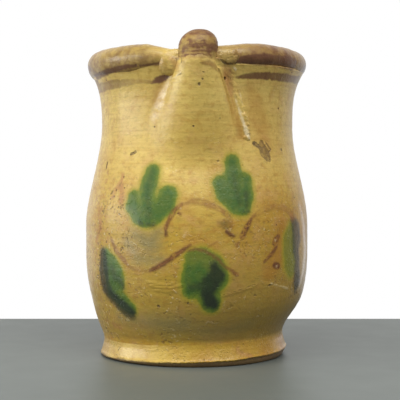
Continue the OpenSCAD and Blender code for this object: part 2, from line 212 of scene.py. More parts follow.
# Single touches of the brush, dark crumbs and nicks, and pale glints that are painted highlights: each point
# is a touch of its own
DOTS = (
    ("left patch crumbs", "chip_and_shade", 0.9, (
        (111.4, 193.6, 1.1), (112.6, 191.6, 0.9), (114.4, 196.6, 0.9), (110.4, 199.4, 0.9),
        (113, 206.8, 1.2), (111, 208.4, 0.9), (118.6, 207.2, 1.3), (121, 206.6, 1.1), (123.6, 200.2, 1.2),
        (119, 199.4, 1.0), (124.4, 188, 1.0), (122.8, 205, 1.0), (116.4, 190.2, 0.8), (120.4, 203.6, 1.1),
        (123.8, 176.6, 0.7))),
    ("left edge crumbs", "chip_and_shade", 0.6, (
        (93.4, 301, 0.9), (95.4, 306.4, 1.0), (97.4, 311.6, 0.9), (100.6, 315.4, 1.0), (96.6, 288, 1.0),
        (94, 279.6, 0.7), (98, 318.6, 0.8), (103.4, 312.4, 0.8), (101, 321.6, 0.9))),
    ("flake crumbs", "chip_and_shade", 1.0, (
        (256, 143.6, 1.3), (258.6, 147, 1.0), (262.4, 142.6, 1.1), (264.4, 147, 1.0), (263, 151, 1.2),
        (266, 153.6, 1.3), (268.6, 157.4, 1.5), (269.4, 151.6, 0.9), (265, 157, 0.9))),
    ("stem glints", "pale", 0.6, (
        (180.6, 208.6, 1.1), (276.6, 266, 1.3), (275.6, 240.4, 0.9), (237, 275.6, 0.9),
        (128.4, 264.6, 0.8))),
    ("foot nicks", "chip_and_shade", 0.9, (
        (131, 358.6, 1.0), (184.6, 360.8, 0.9), (204.2, 359.8, 0.9), (241, 359.4, 1.1))),
    ("left glints", "pale", 0.3, (
        (167, 168.6, 0.9), (171.4, 167.4, 0.9), (176.2, 170.8, 1.0), (173, 172.4, 0.7), (174.4, 175.8, 1.0),
        (169.6, 171.4, 0.7))),
    ("low glints", "pale", 0.5, (
        (113, 325.8, 0.9), (116.4, 323.4, 1.0), (121, 326.8, 1.0), (126, 322.4, 0.8), (99.4, 303.6, 0.9),
        (102.6, 310, 0.9))),
    ("garland glints", "pale", 0.4, (
        (129.6, 248.6, 0.9), (132, 251.4, 1.0), (134.6, 249.6, 0.8), (131, 255.4, 0.9), (136.4, 256.2, 0.9),
        (133.4, 253.4, 0.8))),
)
BARE_PATCHES = (
    ("left patch", "bare", 0.62, (
        (123.4, 174, 0.8), (120.6, 184, 4.0), (122, 193, 4.0), (120.6, 203, 3.0))),
    ("left patch arm", "bare", 0.45, ((119, 185, 2.0), (115.4, 190, 2.4), (112.6, 198, 1.6))),
    ("left edge", "bare", 0.4, ((98.4, 207, 2.4), (98.8, 213, 3.4), (101, 225, 3.4), (97, 240, 4.0))),
    ("foot patch", "bare", 0.55, ((116, 323, 4.0), (122, 326, 4.5))),
    ("right edge", "bare", 0.45, ((291, 215, 3.0), (293, 219, 3.0))),
    ("left pad", "bare", 0.42, ((168, 66, 3.0), (172, 58, 3.0), (177, 66, 4.0))),
    ("coil top", "bare", 0.4, ((226, 68, 5.0), (228, 79, 6.0), (230, 92, 5.0))),
    ("foot side", "bare", 0.5, ((113, 345, 2.0), (116, 353, 2.4))),
    ("foot crumbs", "bare", 0.5, ((240, 345, 2.0), (238, 352, 2.4), (252, 356, 2.0))),
)
AMBER_POOLS_AND_SHADE = (
    ("coil", "amber", 0.85, (
        (225, 74, 4.4), (228, 92, 4.4), (232, 108, 4.6), (237, 124, 4.6), (242, 137, 3.6))),
    ("right of the coil", "amber", 0.4, (
        (250, 88, 8.0), (256, 104, 12.0), (260, 124, 14.0), (266, 146, 12.0))),
    # Painted shade in the crease left of the duct.
    ("left of the duct", "amber", 0.5, ((164, 80, 4.0), (158, 90, 5.0), (155, 102, 4.0))),
    ("beside the right leaf", "amber", 0.3, ((216, 166, 7.0), (212, 180, 8.0), (214, 196, 6.0))),
    ("over the garland", "amber", 0.45, ((190, 240, 9.0), (206, 243, 8.0), (216, 248, 6.0))),
    ("beside the left leaf", "amber", 0.25, ((180, 196, 8.0), (188, 212, 8.0))),
    ("right belly", "amber", 0.55, ((282, 225, 9.0), (280, 250, 12.0), (270, 272, 12.0))),
)
HAZE_AND_SHADE = (
    ("under the left leaf", "haze", 0.9, ((138, 236, 12.0), (150, 244, 17.0), (158, 232, 9.0))),
    ("inside the garland", "haze", 0.9, ((128, 242, 9.0), (138, 258, 11.0), (160, 260, 9.0))),
    ("low drip", "haze", 0.5, ((137, 319, 5.0), (146, 327, 6.0), (153, 331, 4.0))),
    ("low left", "haze", 0.75, ((122, 316, 10.0), (150, 322, 14.0), (185, 324, 14.0))),
    ("low middle", "haze", 0.5, ((190, 326, 10.0), (205, 332, 12.0), (250, 326, 10.0))),
    # Painted shade in the crease left of the duct.
    ("duct fold", "haze", 0.5, ((159, 84, 2.4), (155, 96, 3.0), (153, 108, 2.0))),
)
# Pale touches: the coil's ridge and crumbs are thin glaze with a painted highlight on it, the coil head, the
# pads' touches and the speck light are painted highlights, and the blisters are pale glaze.
PALE_EDGES_AND_HIGHLIGHTS = (
    ("coil ridge", "pale", 0.9, (
        (233, 92, 0.8), (236.6, 104, 1.5), (241.4, 118, 2.6), (245.6, 130, 3.2), (248.6, 138, 2.4))),
    ("coil crumbs", "pale", 0.6, ((239.4, 91, 0.7), (242, 104, 0.9), (243.6, 112, 0.7))),
    ("coil head", "pale", 0.9, ((233.6, 67.4, 1.4), (235.8, 69.4, 1.7))),
    ("left pad", "pale", 0.3, ((173, 56, 1.2), (176.6, 59.6, 1.4))),
    ("left pad low", "pale", 0.4, ((171, 79, 0.8), (175, 77, 0.9), (180.6, 72.6, 0.7))),
    ("speck light", "pale", 0.9, ((216.6, 158.6, 1.1), (217.2, 159.4, 1.1))),
    ("blister", "pale", 0.5, ((270.6, 283.4, 1.2), (287.6, 288.6, 1.2))),
)
GLOSSY = (
    ("duct fold", "gloss", 1.0, ((171.6, 83, 4.0), (165, 96, 7.0), (159.4, 108, 7.0), (154, 119, 4.0))),
    ("coil", "gloss", 0.9, ((233, 92, 2.0), (240, 114, 3.0), (248, 138, 3.0))),
    ("right groove", "gloss", 0.5, ((222, 84, 2.0), (228, 104, 3.0), (236, 128, 3.0))),
    ("rim window", "gloss", 0.28, ((114, 52, 3.0), (116, 57, 4.0))),
    ("neck window", "gloss", 0.6, ((119.6, 68, 4.0), (121.6, 75, 4.0))),
    ("right edge", "gloss", 0.7, (
        (300, 206, 5.0), (304, 228, 7.0), (305, 250, 7.0), (303, 272, 6.0), (299, 288, 4.0))),
    ("under the left leaf", "gloss", 0.5, ((128, 246, 6.0), (140, 252, 8.0), (152, 250, 5.0))),
)
RIPPLES = (
    ("ripple high", "ripple", 1.0, (
        (147, 281.6, 0.7), (156, 283.8, 1.0), (166, 285.4, 0.9), (174, 283.6, 0.8))),
    ("ripple middle", "ripple", 1.0, (
        (150, 285.6, 0.7), (160, 287.6, 1.0), (170, 288.2, 0.9), (182, 285.2, 0.8))),
    ("ripple low", "ripple", 0.7, ((156, 290.4, 0.6), (168, 291.8, 0.7), (176, 290.8, 0.6))),
    ("ripple right", "ripple", 0.7, ((262, 282.6, 0.6), (268, 284.4, 0.9), (274, 282, 0.6))),
    ("foot ripple", "ripple", 0.8, ((144, 345.6, 0.6), (151, 347.6, 0.8), (157, 347, 0.6))),
    ("foot ripple low", "ripple", 0.6, ((145, 349.4, 0.6), (153, 350.2, 0.8), (158, 349.6, 0.6))),
    ("low ripple", "ripple", 0.8, ((114, 324, 0.7), (120, 326.4, 1.0), (127, 327, 0.7))),
    ("crack", "ripple", 0.8, ((222, 296.2, 0.6), (233, 293.2, 0.6), (245, 289.4, 0.7), (256, 285.4, 0.7))),
)


def pigment(red, green, blue):
    """Linear colour of a paint given as it looks on a screen, from 0 to 255."""
    shares = [level / 255 for level in (red, green, blue)]
    return tuple(share / 12.92 if share < 0.04045 else ((share + 0.055) / 1.055) ** 2.4 for share in shares)


def clamp(share, top=1.0):
    """A share, held between nothing and its top."""
    return min(top, max(0.0, share))


def ease(share):
    """A share from 0 to 1 that starts and ends softly."""
    return share * share * (3 - 2 * share)


def length(name, description, default):
    """A size that a user may change, in metres."""
    return bpy.props.FloatProperty(
        name=name, description=description, default=default, precision=4, unit="LENGTH", subtype="DISTANCE")


def colour(name, description, default):
    """A colour that a user may change."""
    return bpy.props.FloatVectorProperty(
        name=name, description=description, default=default, size=3, min=0.0, max=1.0, subtype="COLOR")


class JugSizes(bpy.types.PropertyGroup):
    """Sizes of the clay pieces."""

    foot_radius: length("Foot radius", "Largest radius of the flared foot", 0.0610)
    foot_stand_radius: length("Standing radius", "Radius of the face that stands on the table", 0.0586)
    foot_height: length("Foot height", "Height of the waist above the table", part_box("foot_ring")[1].z)
    foot_inner_radius: length("Foot inner radius", "Inner radius of the foot's clay ring", 0.0476)
    foot_offset: length("Foot offset", "How far the foot sits to the left of the axis", 0.0023)
    foot_edge: length("Foot edge", "Height of the foot's outer edge, where the glaze ends", 0.0036)
    waist_radius: length("Waist radius", "Radius of the waist above the foot", 0.0581)
    waist_height: length("Waist height", "Height where the foot's flare runs into the pot", 0.0155)
    belly_radius: length("Belly radius", "Largest radius of the belly", 0.0726)
    belly_low: length("Belly low", "Height where the belly reaches its largest radius", 0.070)
    belly_high: length("Belly high", "Height where the belly starts to draw in", 0.084)
    neck_radius: length("Neck radius", "Radius of the neck at its narrowest", 0.0624)
    neck_height: length("Neck height", "Height where the neck is narrowest", 0.149)
    lip_radius: length("Lip radius", "Radius of the flared lip under the rim", 0.0692)
    lip_height: length("Lip height", "Height of the flared lip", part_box("pot")[1].z)
    wall: length("Wall", "Thickness of the thrown wall", 0.0055)
    floor_height: length("Floor height", "Height of the inside of the pot's floor", 0.0145)
    ring_radius: length("Rim ring radius", "Radius of the hollow rim's centre line", 0.06381)
    rim_height: length("Rim height", "Height of the hollow rim's centre line", 0.18821)
    roll_radius: length("Roll radius", "Radius of the hollow rim's section", 0.0075)
    left_dip: length("Left dip", "How far the left lobe of the rim falls beside the nozzle", 0.0044)
    right_dip: length("Right dip", "How far the right lobe of the rim falls beside the nozzle", 0.0020)
    nozzle_reach: length("Nozzle reach", "Distance of the nozzle in front of the axis", 0.06621)
    nozzle_radius: length("Nozzle radius", "Radius of the drinking nozzle", 0.012)
    nozzle_top: length("Nozzle top", "Height of the nozzle's top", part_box("nozzle")[1].z - 0.8 * MM)
    nozzle_dome: length("Nozzle dome", "Height of the nozzle's rounded top", 0.010)
    nozzle_lean: length("Nozzle lean", "How far the nozzle's top leans to the right", 0.0018)
    drink_bore: length("Drinking bore", "Radius of the hole to drink from", 0.004)
    duct_low: length("Duct low end", "Height where the duct fades into the shoulder", 0.124)
    duct_low_radius: length("Duct low radius", "Radius of the duct at its low end", 0.037)
    vent_radius: length("Vent radius", "Radius of the vents to cover with a finger", 0.0012)
    vent_height: length("Vent height", "Height of the vent beside the nozzle", 0.174)
    handle_radius: length("Handle radius", "Radius of the hollow handle", 0.010)
    handle_back: length("Handle back", "Distance of the handle's centre line behind the axis", 0.10781)
    bend_radius: length("Bend radius", "Radius of the handle's upper bend", 0.026)
    sweep_radius: length("Sweep radius", "Radius of the handle's long lower arc", 0.09378)
    sweep_angle: bpy.props.FloatProperty(
        name="Sweep angle", description="Angle of the handle's long lower arc",
        default=math.radians(43.2), subtype="ANGLE")
    crown_radius: length("Crown radius", "Radius of the clay that joins handle and rim", 0.0125)
    root_radius: length("Root radius", "Radius of the clay that joins handle and pot, at the wall", 0.0142)


class GlazeColours(bpy.types.PropertyGroup):
    """Colours of the glaze, the brush strokes and the clay."""

    # Some colours also make painted light and shade: straw towards the top and on the foot's left is partly
    # painted light; amber towards the right and in the crease left of the duct, haze in that crease and olive
    # towards the foot are partly painted shade; pale also makes painted highlights, and the chip colour
    # painted shade in gaps, hollows and the vent.
    honey: colour("Honey", "Lead glaze over the cream slip", pigment(190, 154, 48))
    straw: colour("Straw", "Paler glaze", pigment(224, 195, 108))
    amber: colour("Amber", "Glaze where it pools", pigment(168, 114, 34))
    olive: colour("Olive", "Glaze towards the foot", pigment(142, 120, 50))
    blush: colour("Blush", "Thin glaze that lets the clay through", pigment(196, 146, 96))
    haze: colour("Haze", "Grey-green cloud in the glaze", pigment(136, 125, 80))
    pale: colour("Pale", "Glaze that breaks over a sharp edge", pigment(232, 212, 164))
    leaf: colour("Leaf", "Copper green at the edges of the leaves", pigment(100, 120, 28))
    leaf_cool: colour("Cool leaf", "Deeper green where the leaf is thick", pigment(66, 100, 34))
    leaf_dark: colour("Dark leaf", "Green-black of the heaviest strokes", pigment(28, 34, 26))
    bleed: colour("Bleed", "Yellow-green of the copper run into the glaze", pigment(158, 148, 36))
    stem: colour("Stem", "Brown of the stems", pigment(136, 84, 42))
    stem_dark: colour("Dark stem", "Brown at the edges of the stems", pigment(78, 42, 28))
    band: colour("Band", "Brown of the bands under the rim", pigment(116, 76, 50))
    umber: colour("Umber", "Brown stain of the nozzle", pigment(112, 70, 40))
    chip_and_shade: colour("Chip", "Dark clay in chips and pits", pigment(74, 48, 26))
    clay: colour("Clay", "Bare fired clay", pigment(176, 122, 78))
    foot_clay: colour("Foot clay", "Dull clay below the glaze of the foot", pigment(122, 102, 68))
    inside: colour("Inside", "Glaze inside the pot", pigment(150, 108, 52))


class StageLook(bpy.types.PropertyGroup):
    """Camera, floor and light."""

    camera_distance: length("Camera distance", "Distance of the camera from the axis", 0.686)
    camera_height: length("Camera height", "Height of the camera above the table", 0.113)
    camera_side: length("Camera side", "Distance of the camera to the right of the axis", 0.002)
    camera_tilt: bpy.props.FloatProperty(
        name="Camera tilt", description="Angle that the camera looks down",
        default=math.radians(1.05), subtype="ANGLE")
    lens: bpy.props.FloatProperty(name="Lens", description="Focal length in millimetres", default=93.6)
    sensor: bpy.props.FloatProperty(name="Sensor", description="Sensor width in millimetres", default=36.0)
    floor_back: length("Floor back", "Distance of the floor's back edge behind the axis", 0.165)
    floor_half: length("Floor half width", "Half of the floor's width", 1.6)
    floor: colour("Floor", "Colour of the plain floor", pigment(102, 108, 103))
    key_power: bpy.props.FloatProperty(
        name="Key power", description="Power that the lamps share out, in watts", default=15.0)
    ambient: bpy.props.FloatProperty(name="Ambient", description="Light from all round", default=0.25)


class Form:
    """Where the thrown wall, the duct and the rim lie. A bearing is 0 at the front and grows to the right."""

    def __init__(self, sizes):
        self.sizes = sizes

    def wall(self, height):
        """Outer radius of the thrown wall, with the foot's flare running into it."""
        s = self.sizes
        low = clamp((s.belly_low - height) / (s.belly_low - s.waist_height), 1.3)
        rise = clamp((height - s.belly_high) / (s.neck_height - s.belly_high))
        flare = clamp((height - s.neck_height) / (s.lip_height - s.neck_height), 1.2)
        body = s.belly_radius - (s.belly_radius - s.waist_radius) * low ** 2.6
        body -= (s.belly_radius - s.neck_radius) * ease(rise)
        body += (s.lip_radius - s.neck_radius) * flare ** 3
        up = clamp((height - s.foot_edge) / (s.waist_height - s.foot_edge))
        foot = s.foot_radius - (s.foot_radius - s.waist_radius + 0.4 * MM) * up ** 0.7
        fillet = 5 * MM
        soft = max(0.0, 1 - abs(body - foot) / fillet)
        return max(body, foot) + soft * soft * fillet / 4

    def swell(self, x, y, z):
        """How far the hand-thrown wall swells or dents at a point, away from the axis."""
        broad = noise.noise(Vector((x * 11, y * 11, z * 9 + 3.1)))
        dent = noise.noise(Vector((x * 34, y * 34, z * 52 + 7.7)))
        wander = noise.noise(Vector((x * 16, y * 16, z * 30)))
        ring = math.sin(z * 2 * math.pi / WALL_LINE + 4 * wander)
        right = max(0.0, math.sin(math.atan2(x, -y)))
        tuck_height = 22 * MM
        tuck_spread = 13 * MM
        tuck = right ** 2 * math.exp(-((z - tuck_height) / tuck_spread) ** 2)
        return (0.5 * broad + 0.2 * dent + 0.03 * ring - 0.4 * tuck) * MM

    def lean(self, height):
        """Sideways shift of the pot towards its foot, which sits off the axis."""
        start = 40 * MM
        reach = 24 * MM
        return -self.sizes.foot_offset * ease(clamp((start - height) / reach))

    def settle(self, x, y, z):
        """A point of the true form, moved to where the potter's hand left it."""
        radius = math.hypot(x, y)
        scale = (radius + self.swell(x, y, z)) / radius
        return Vector((x * scale + self.lean(z), y * scale, z + self.tilt(x / radius, z)))

    def tilt(self, side, height):
        """How far the foot's edge and the waist rise to the right and fall to the left."""
        most = 2.1 * MM
        start = clamp(height / (3 * MM))
        end = clamp((height - 14 * MM) / (30 * MM))
        return most * side * ease(start) * (1 - ease(end))

    def roll_depth(self, point):
        """How much deeper than round the rim's roll hangs at a point. Only the left lobe hangs deeper."""
        bearing = -math.degrees(math.atan2(point.x, -point.y))
        return 1 + 0.3 * ease(clamp((bearing - 18) / 20))

    def duct_centre(self, height):
        """Distance of the duct's own axis in front of the jug's."""
        s = self.sizes
        low_reach = self.wall(s.duct_low) - s.duct_low_radius
        return s.nozzle_reach + (low_reach - s.nozzle_reach) * self.duct_share(height)

    def duct_radius(self, height):
        s = self.sizes
        return s.nozzle_radius + (s.duct_low_radius - s.nozzle_radius) * self.duct_share(height)

    def duct_share(self, height):
        s = self.sizes
        return max(0.0, (s.lip_height - height) / (s.lip_height - s.duct_low))

    def duct_turn(self, height, reach):
        """Angle round the duct's axis where the wall lies at a given distance from that axis."""
        centre = self.duct_centre(height)
        radius = self.wall(height)
        cosine = (radius * radius - centre * centre - reach * reach) / (2 * centre * reach)
        return math.acos(max(-1.0, min(1.0, cosine)))

    def duct_skin(self, turn, height, fillet):
        """Distance from the duct's axis to the skin of duct and wall, and the wall's lead over the duct."""
        centre = self.duct_centre(height)
        radius = self.duct_radius(height)
        wall = self.wall(height)
        sine = centre * math.sin(turn)
        to_wall = math.sqrt(max(0.0, wall * wall - sine * sine)) - centre * math.cos(turn)
        lead = to_wall - radius
        soft = max(0.0, fillet - abs(lead)) / fillet
        return max(to_wall, radius) + soft * soft * fillet / 4, lead

    def duct_point(self, turn, height, reach):
        centre = self.duct_centre(height)
        return self.settle(reach * math.sin(turn), -centre - reach * math.cos(turn), height)

    def skin_gap(self, point):
        """Rough distance from a point to the skin of wall, rim, duct and nozzle."""
        s = self.sizes
        radius = math.hypot(point.x, point.y)
        rise = point.z - s.rim_height
        rise = rise / self.roll_depth(point) if rise < 0 else rise
        gap = math.hypot(radius - s.ring_radius, rise) - s.roll_radius
        if point.z < s.lip_height:
            gap = min(gap, radius - self.wall(point.z))
        if s.duct_low < point.z < s.nozzle_top - s.nozzle_dome:
            across = math.hypot(point.x, point.y + self.duct_centre(point.z))
            gap = min(gap, across - self.duct_radius(point.z))
        return gap


def sightline(look, pixel_x, pixel_y):
    """Camera's place and the direction in which it sees a pixel of the photograph."""
    focal = look.lens / look.sensor * PHOTO_SIDE
    across = (pixel_x - PHOTO_SIDE / 2) / focal
    up = (PHOTO_SIDE / 2 - pixel_y) / focal
    cosine = math.cos(look.camera_tilt)
    sine = math.sin(look.camera_tilt)
    way = Vector((across, cosine + up * sine, up * cosine - sine))
    place = Vector((look.camera_side, -look.camera_distance, look.camera_height))
    return place, way.normalized()


def seen_point(form, look, pixel_x, pixel_y):
    """Point of the jug's skin that a pixel of the photograph shows, or the nearest one beside the outline."""
    place, way = sightline(look, pixel_x, pixel_y)
    touch = 0.02 * MM
    reach = look.camera_distance - 85 * MM
    furthest = look.camera_distance + 20 * MM
    best = reach
    best_gap = FAR
    while reach < furthest:
        gap = form.skin_gap(place + way * reach)
        if gap < best_gap:
            best = reach
            best_gap = gap
        if gap < touch:
            break
        reach += max(0.4 * gap, touch)
    return place + way * best


class Stroke:
    """A brush stroke on the jug's skin."""

    def __init__(self, kind, load, path, widths):
        self.kind = kind
        self.load = load
        self.path = path
        self.widths = widths

    def turned(self, angle):
        """The same stroke, repeated further round the jug."""
        turn = Matrix.Rotation(angle, 3, "Z")
        return Stroke(self.kind, self.load, [turn @ point for point in self.path], self.widths)


def brush(form, look, strokes):
    """Strokes of the photograph, laid on the jug's skin."""
    laid = []
    for _, kind, load, points in strokes:
        path = [seen_point(form, look, x, y) for x, y, _ in points]
        laid.append(Stroke(kind, load, path, [width * MM for _, _, width in points]))
    return laid


def dab(form, look, groups):
    """Single touches of the brush, laid on the jug's skin."""
    return brush(form, look, [
        (name, kind, load, (point, point)) for name, kind, load, points in groups for point in points])


def ring_stroke(kind, load, radius, height, width, start, end):
    """A stroke that runs level round the jug between two bearings."""
    count = 24
    path = []
    widths = []
    for step in range(count + 1):
        bearing = start + (end - start) * step / count
        wander = 0.5 * MM * math.sin(bearing * 5.3) + 0.3 * MM * math.sin(bearing * 11.9)
        path.append(Vector((radius * math.sin(bearing), -radius * math.cos(bearing), height + wander)))
        widths.append(width * (0.85 + 0.25 * math.sin(bearing * 7.7 + 1)))
    return Stroke(kind, load, path, widths)


def all_strokes(form, look):
    """Every stroke of the painting: the front as photographed, and the pattern carried round the back."""
    s = form.sizes
    left = brush(form, look, LEFT_LEAF)
    right = brush(form, look, RIGHT_LEAF)
    front = left + right
    for group in (ROUND_LEAF, LEFT_EDGE_LEAF, RIGHT_EDGE_LEAF, STEMS):
        front = front + brush(form, look, group)
    strokes = front[:]
    for leaves, turn in ((front, 180), (left, 128), (right, -120)):
        strokes = strokes + [stroke.turned(math.radians(turn)) for stroke in leaves]
    marks = (
        RIGHT_BANDS, LEFT_BANDS, STAINS_AND_SHADE, CHIPS_AND_SHADE, BARE_PATCHES, AMBER_POOLS_AND_SHADE, HAZE_AND_SHADE, PALE_EDGES_AND_HIGHLIGHTS,
        RIPPLES, GLOSSY,
    )
    for group in marks:
        strokes = strokes + brush(form, look, group)
    strokes = strokes + dab(form, look, DOTS)
    roll_reach = s.ring_radius + 0.9 * s.roll_radius
    neck_reach = form.wall(LOWER_BAND)
    for side in (1, -1):
        for start, end, load in ((74, 126, 0.85), (126, 172, 0.7)):
            first = side * math.radians(start)
            last = side * math.radians(end)
            strokes.append(ring_stroke("band", load, roll_reach, UPPER_BAND, 5.4 * MM, first, last))
            strokes.append(ring_stroke("band", load * 0.85, neck_reach, LOWER_BAND, 4.4 * MM, first, last))
    return strokes


def paint(mesh, strokes, picked=None):
    """Gives each point of a mesh its distance to the strokes of each kind, and the load of those nearby."""
    count = len(mesh.vertices)
    points = np.empty(count * 3)
    mesh.vertices.foreach_get("co", points)
    points = points.reshape(-1, 3)
    picked = np.arange(count) if picked is None else picked
    places = points[picked]
    for kind in STROKE_KINDS:
        near = np.full(len(places), FAR)
        load = np.zeros(len(places))
        wet = np.full(len(places), TINY)
        for stroke in strokes:
            if stroke.kind != kind:
                continue
            for index in range(len(stroke.path) - 1):
                first = np.array(stroke.path[index])
                way = np.array(stroke.path[index + 1]) - first
                share = np.clip((places - first) @ way / max(way @ way, TINY), 0, 1)
                width = stroke.widths[index] + (stroke.widths[index + 1] - stroke.widths[index]) * share
                gap = np.linalg.norm(places - first - share[:, None] * way, axis=1) - width / 2
                gap = gap / MM
                near = np.minimum(near, gap)
                flow = np.exp(-np.clip(gap, -POOL_REACH, POOL_REACH) / POOL)
                load += flow * stroke.load
                wet += flow
        load = load / wet
        if kind == "leaf":
            near = np.where(near < POOL_REACH, -POOL * np.log(wet), near)
        for suffix, values, rest in (("", near, FAR), ("_load", load, 0.0)):
            whole = np.full(count, rest)
            whole[picked] = values
            layer = mesh.attributes.new(kind + suffix, "FLOAT", "POINT")
            layer.data.foreach_set("value", whole)


class Value:
    """A socket of a shader. Arithmetic on it adds Math nodes."""

    def __init__(self, sheet, socket):
        self.sheet = sheet
        self.socket = socket

    def math(self, operation, *terms):
        return self.sheet.add("ShaderNodeMath", {"operation": operation}, dict(enumerate(terms)))

    def __add__(self, other):
        return self.math("ADD", self, other)

    def __radd__(self, other):
        return self.math("ADD", other, self)

    def __sub__(self, other):
        return self.math("SUBTRACT", self, other)

    def __rsub__(self, other):
        return self.math("SUBTRACT", other, self)

    def __mul__(self, other):
        return self.math("MULTIPLY", self, other)

    def __rmul__(self, other):
        return self.math("MULTIPLY", other, self)

    def __abs__(self):
        return self.math("ABSOLUTE", self)

    def sway(self, size):
        """Noise from 0 to 1, turned into a shift of up to half the size either way."""
        return (self - 0.5) * size


class Sheet:
    """The node tree of one material."""

    def __init__(self, name):
        self.material = bpy.data.materials.new(name)
        self.material.use_nodes = True
        self.tree = self.material.node_tree
        self.tree.nodes.clear()
        self.place = self.add("ShaderNodeTexCoord", output="Object")

    def add(self, kind, settings=None, inputs=None, output=0):
        """Adds a node: its settings first, then the values or links of its sockets."""
        node = self.tree.nodes.new(kind)
        for key, setting in (settings or {}).items():
            setattr(node, key, setting)
        for key, term in (inputs or {}).items():
            if isinstance(term, Value):
                self.tree.links.new(term.socket, node.inputs[key])
            else:
                node.inputs[key].default_value = term
        return Value(self, node.outputs[output]) if node.outputs else None

    def noise(self, scale, detail=3.0, roughness=0.5, stretch=None, shift=0.0):
        """Cloudy noise over the piece, from 0 to 1. Scale counts features to the metre."""
        shifts = (shift, shift * 0.7, shift * 1.3)
        turned = self.add("ShaderNodeMapping", inputs={
            "Vector": self.place, "Location": shifts, "Scale": stretch or (1, 1, 1)})
        return self.add("ShaderNodeTexNoise", inputs={
            "Vector": turned, "Scale": scale, "Detail": detail, "Roughness": roughness})

    def step(self, value, low, high):
        """Soft step from 0 at low to 1 at high."""
        return self.add("ShaderNodeMapRange", {"interpolation_type": "SMOOTHSTEP"}, {
            "Value": value, "From Min": low, "From Max": high})

    def mix(self, share, first, second):
        """Colour between two colours."""
        return self.add("ShaderNodeMix", {"data_type": "RGBA", "clamp_factor": True}, {
            0: share, 6: self.rgba(first), 7: self.rgba(second)}, 2)

    def rgba(self, tint):
        return tint if isinstance(tint, Value) else (tint[0], tint[1], tint[2], 1.0)

    def attribute(self, name):
        return self.add("ShaderNodeAttribute", {"attribute_name": name}, output="Fac")

    def along(self, axis):
        """Place along one axis, in metres."""
        return self.add("ShaderNodeSeparateXYZ", inputs={0: self.place}, output=axis)

    def cover(self, kind, spread, inner, outer):
        """Paint of a kind of stroke: all within the inner edge, none past the outer one, in millimetres."""
        edge = self.step(self.attribute(kind) + spread, inner, outer)
        return (1 - edge) * self.attribute(kind + "_load")

    def finish(self, tint, roughness, relief, depth, coat=0.6, coat_roughness=0.16):
        """Closes the material with a glazed surface. Relief is from 0 to 1, and depth is in metres."""
        bump = self.add("ShaderNodeBump", inputs={"Strength": 1.0, "Distance": depth, "Height": relief})
        surface = self.add("ShaderNodeBsdfPrincipled", inputs={
            "Base Color": tint, "Roughness": roughness, "Normal": bump,
            "Coat Weight": coat, "Coat Roughness": coat_roughness})
        self.add("ShaderNodeOutputMaterial", inputs={"Surface": surface})
        return self.material


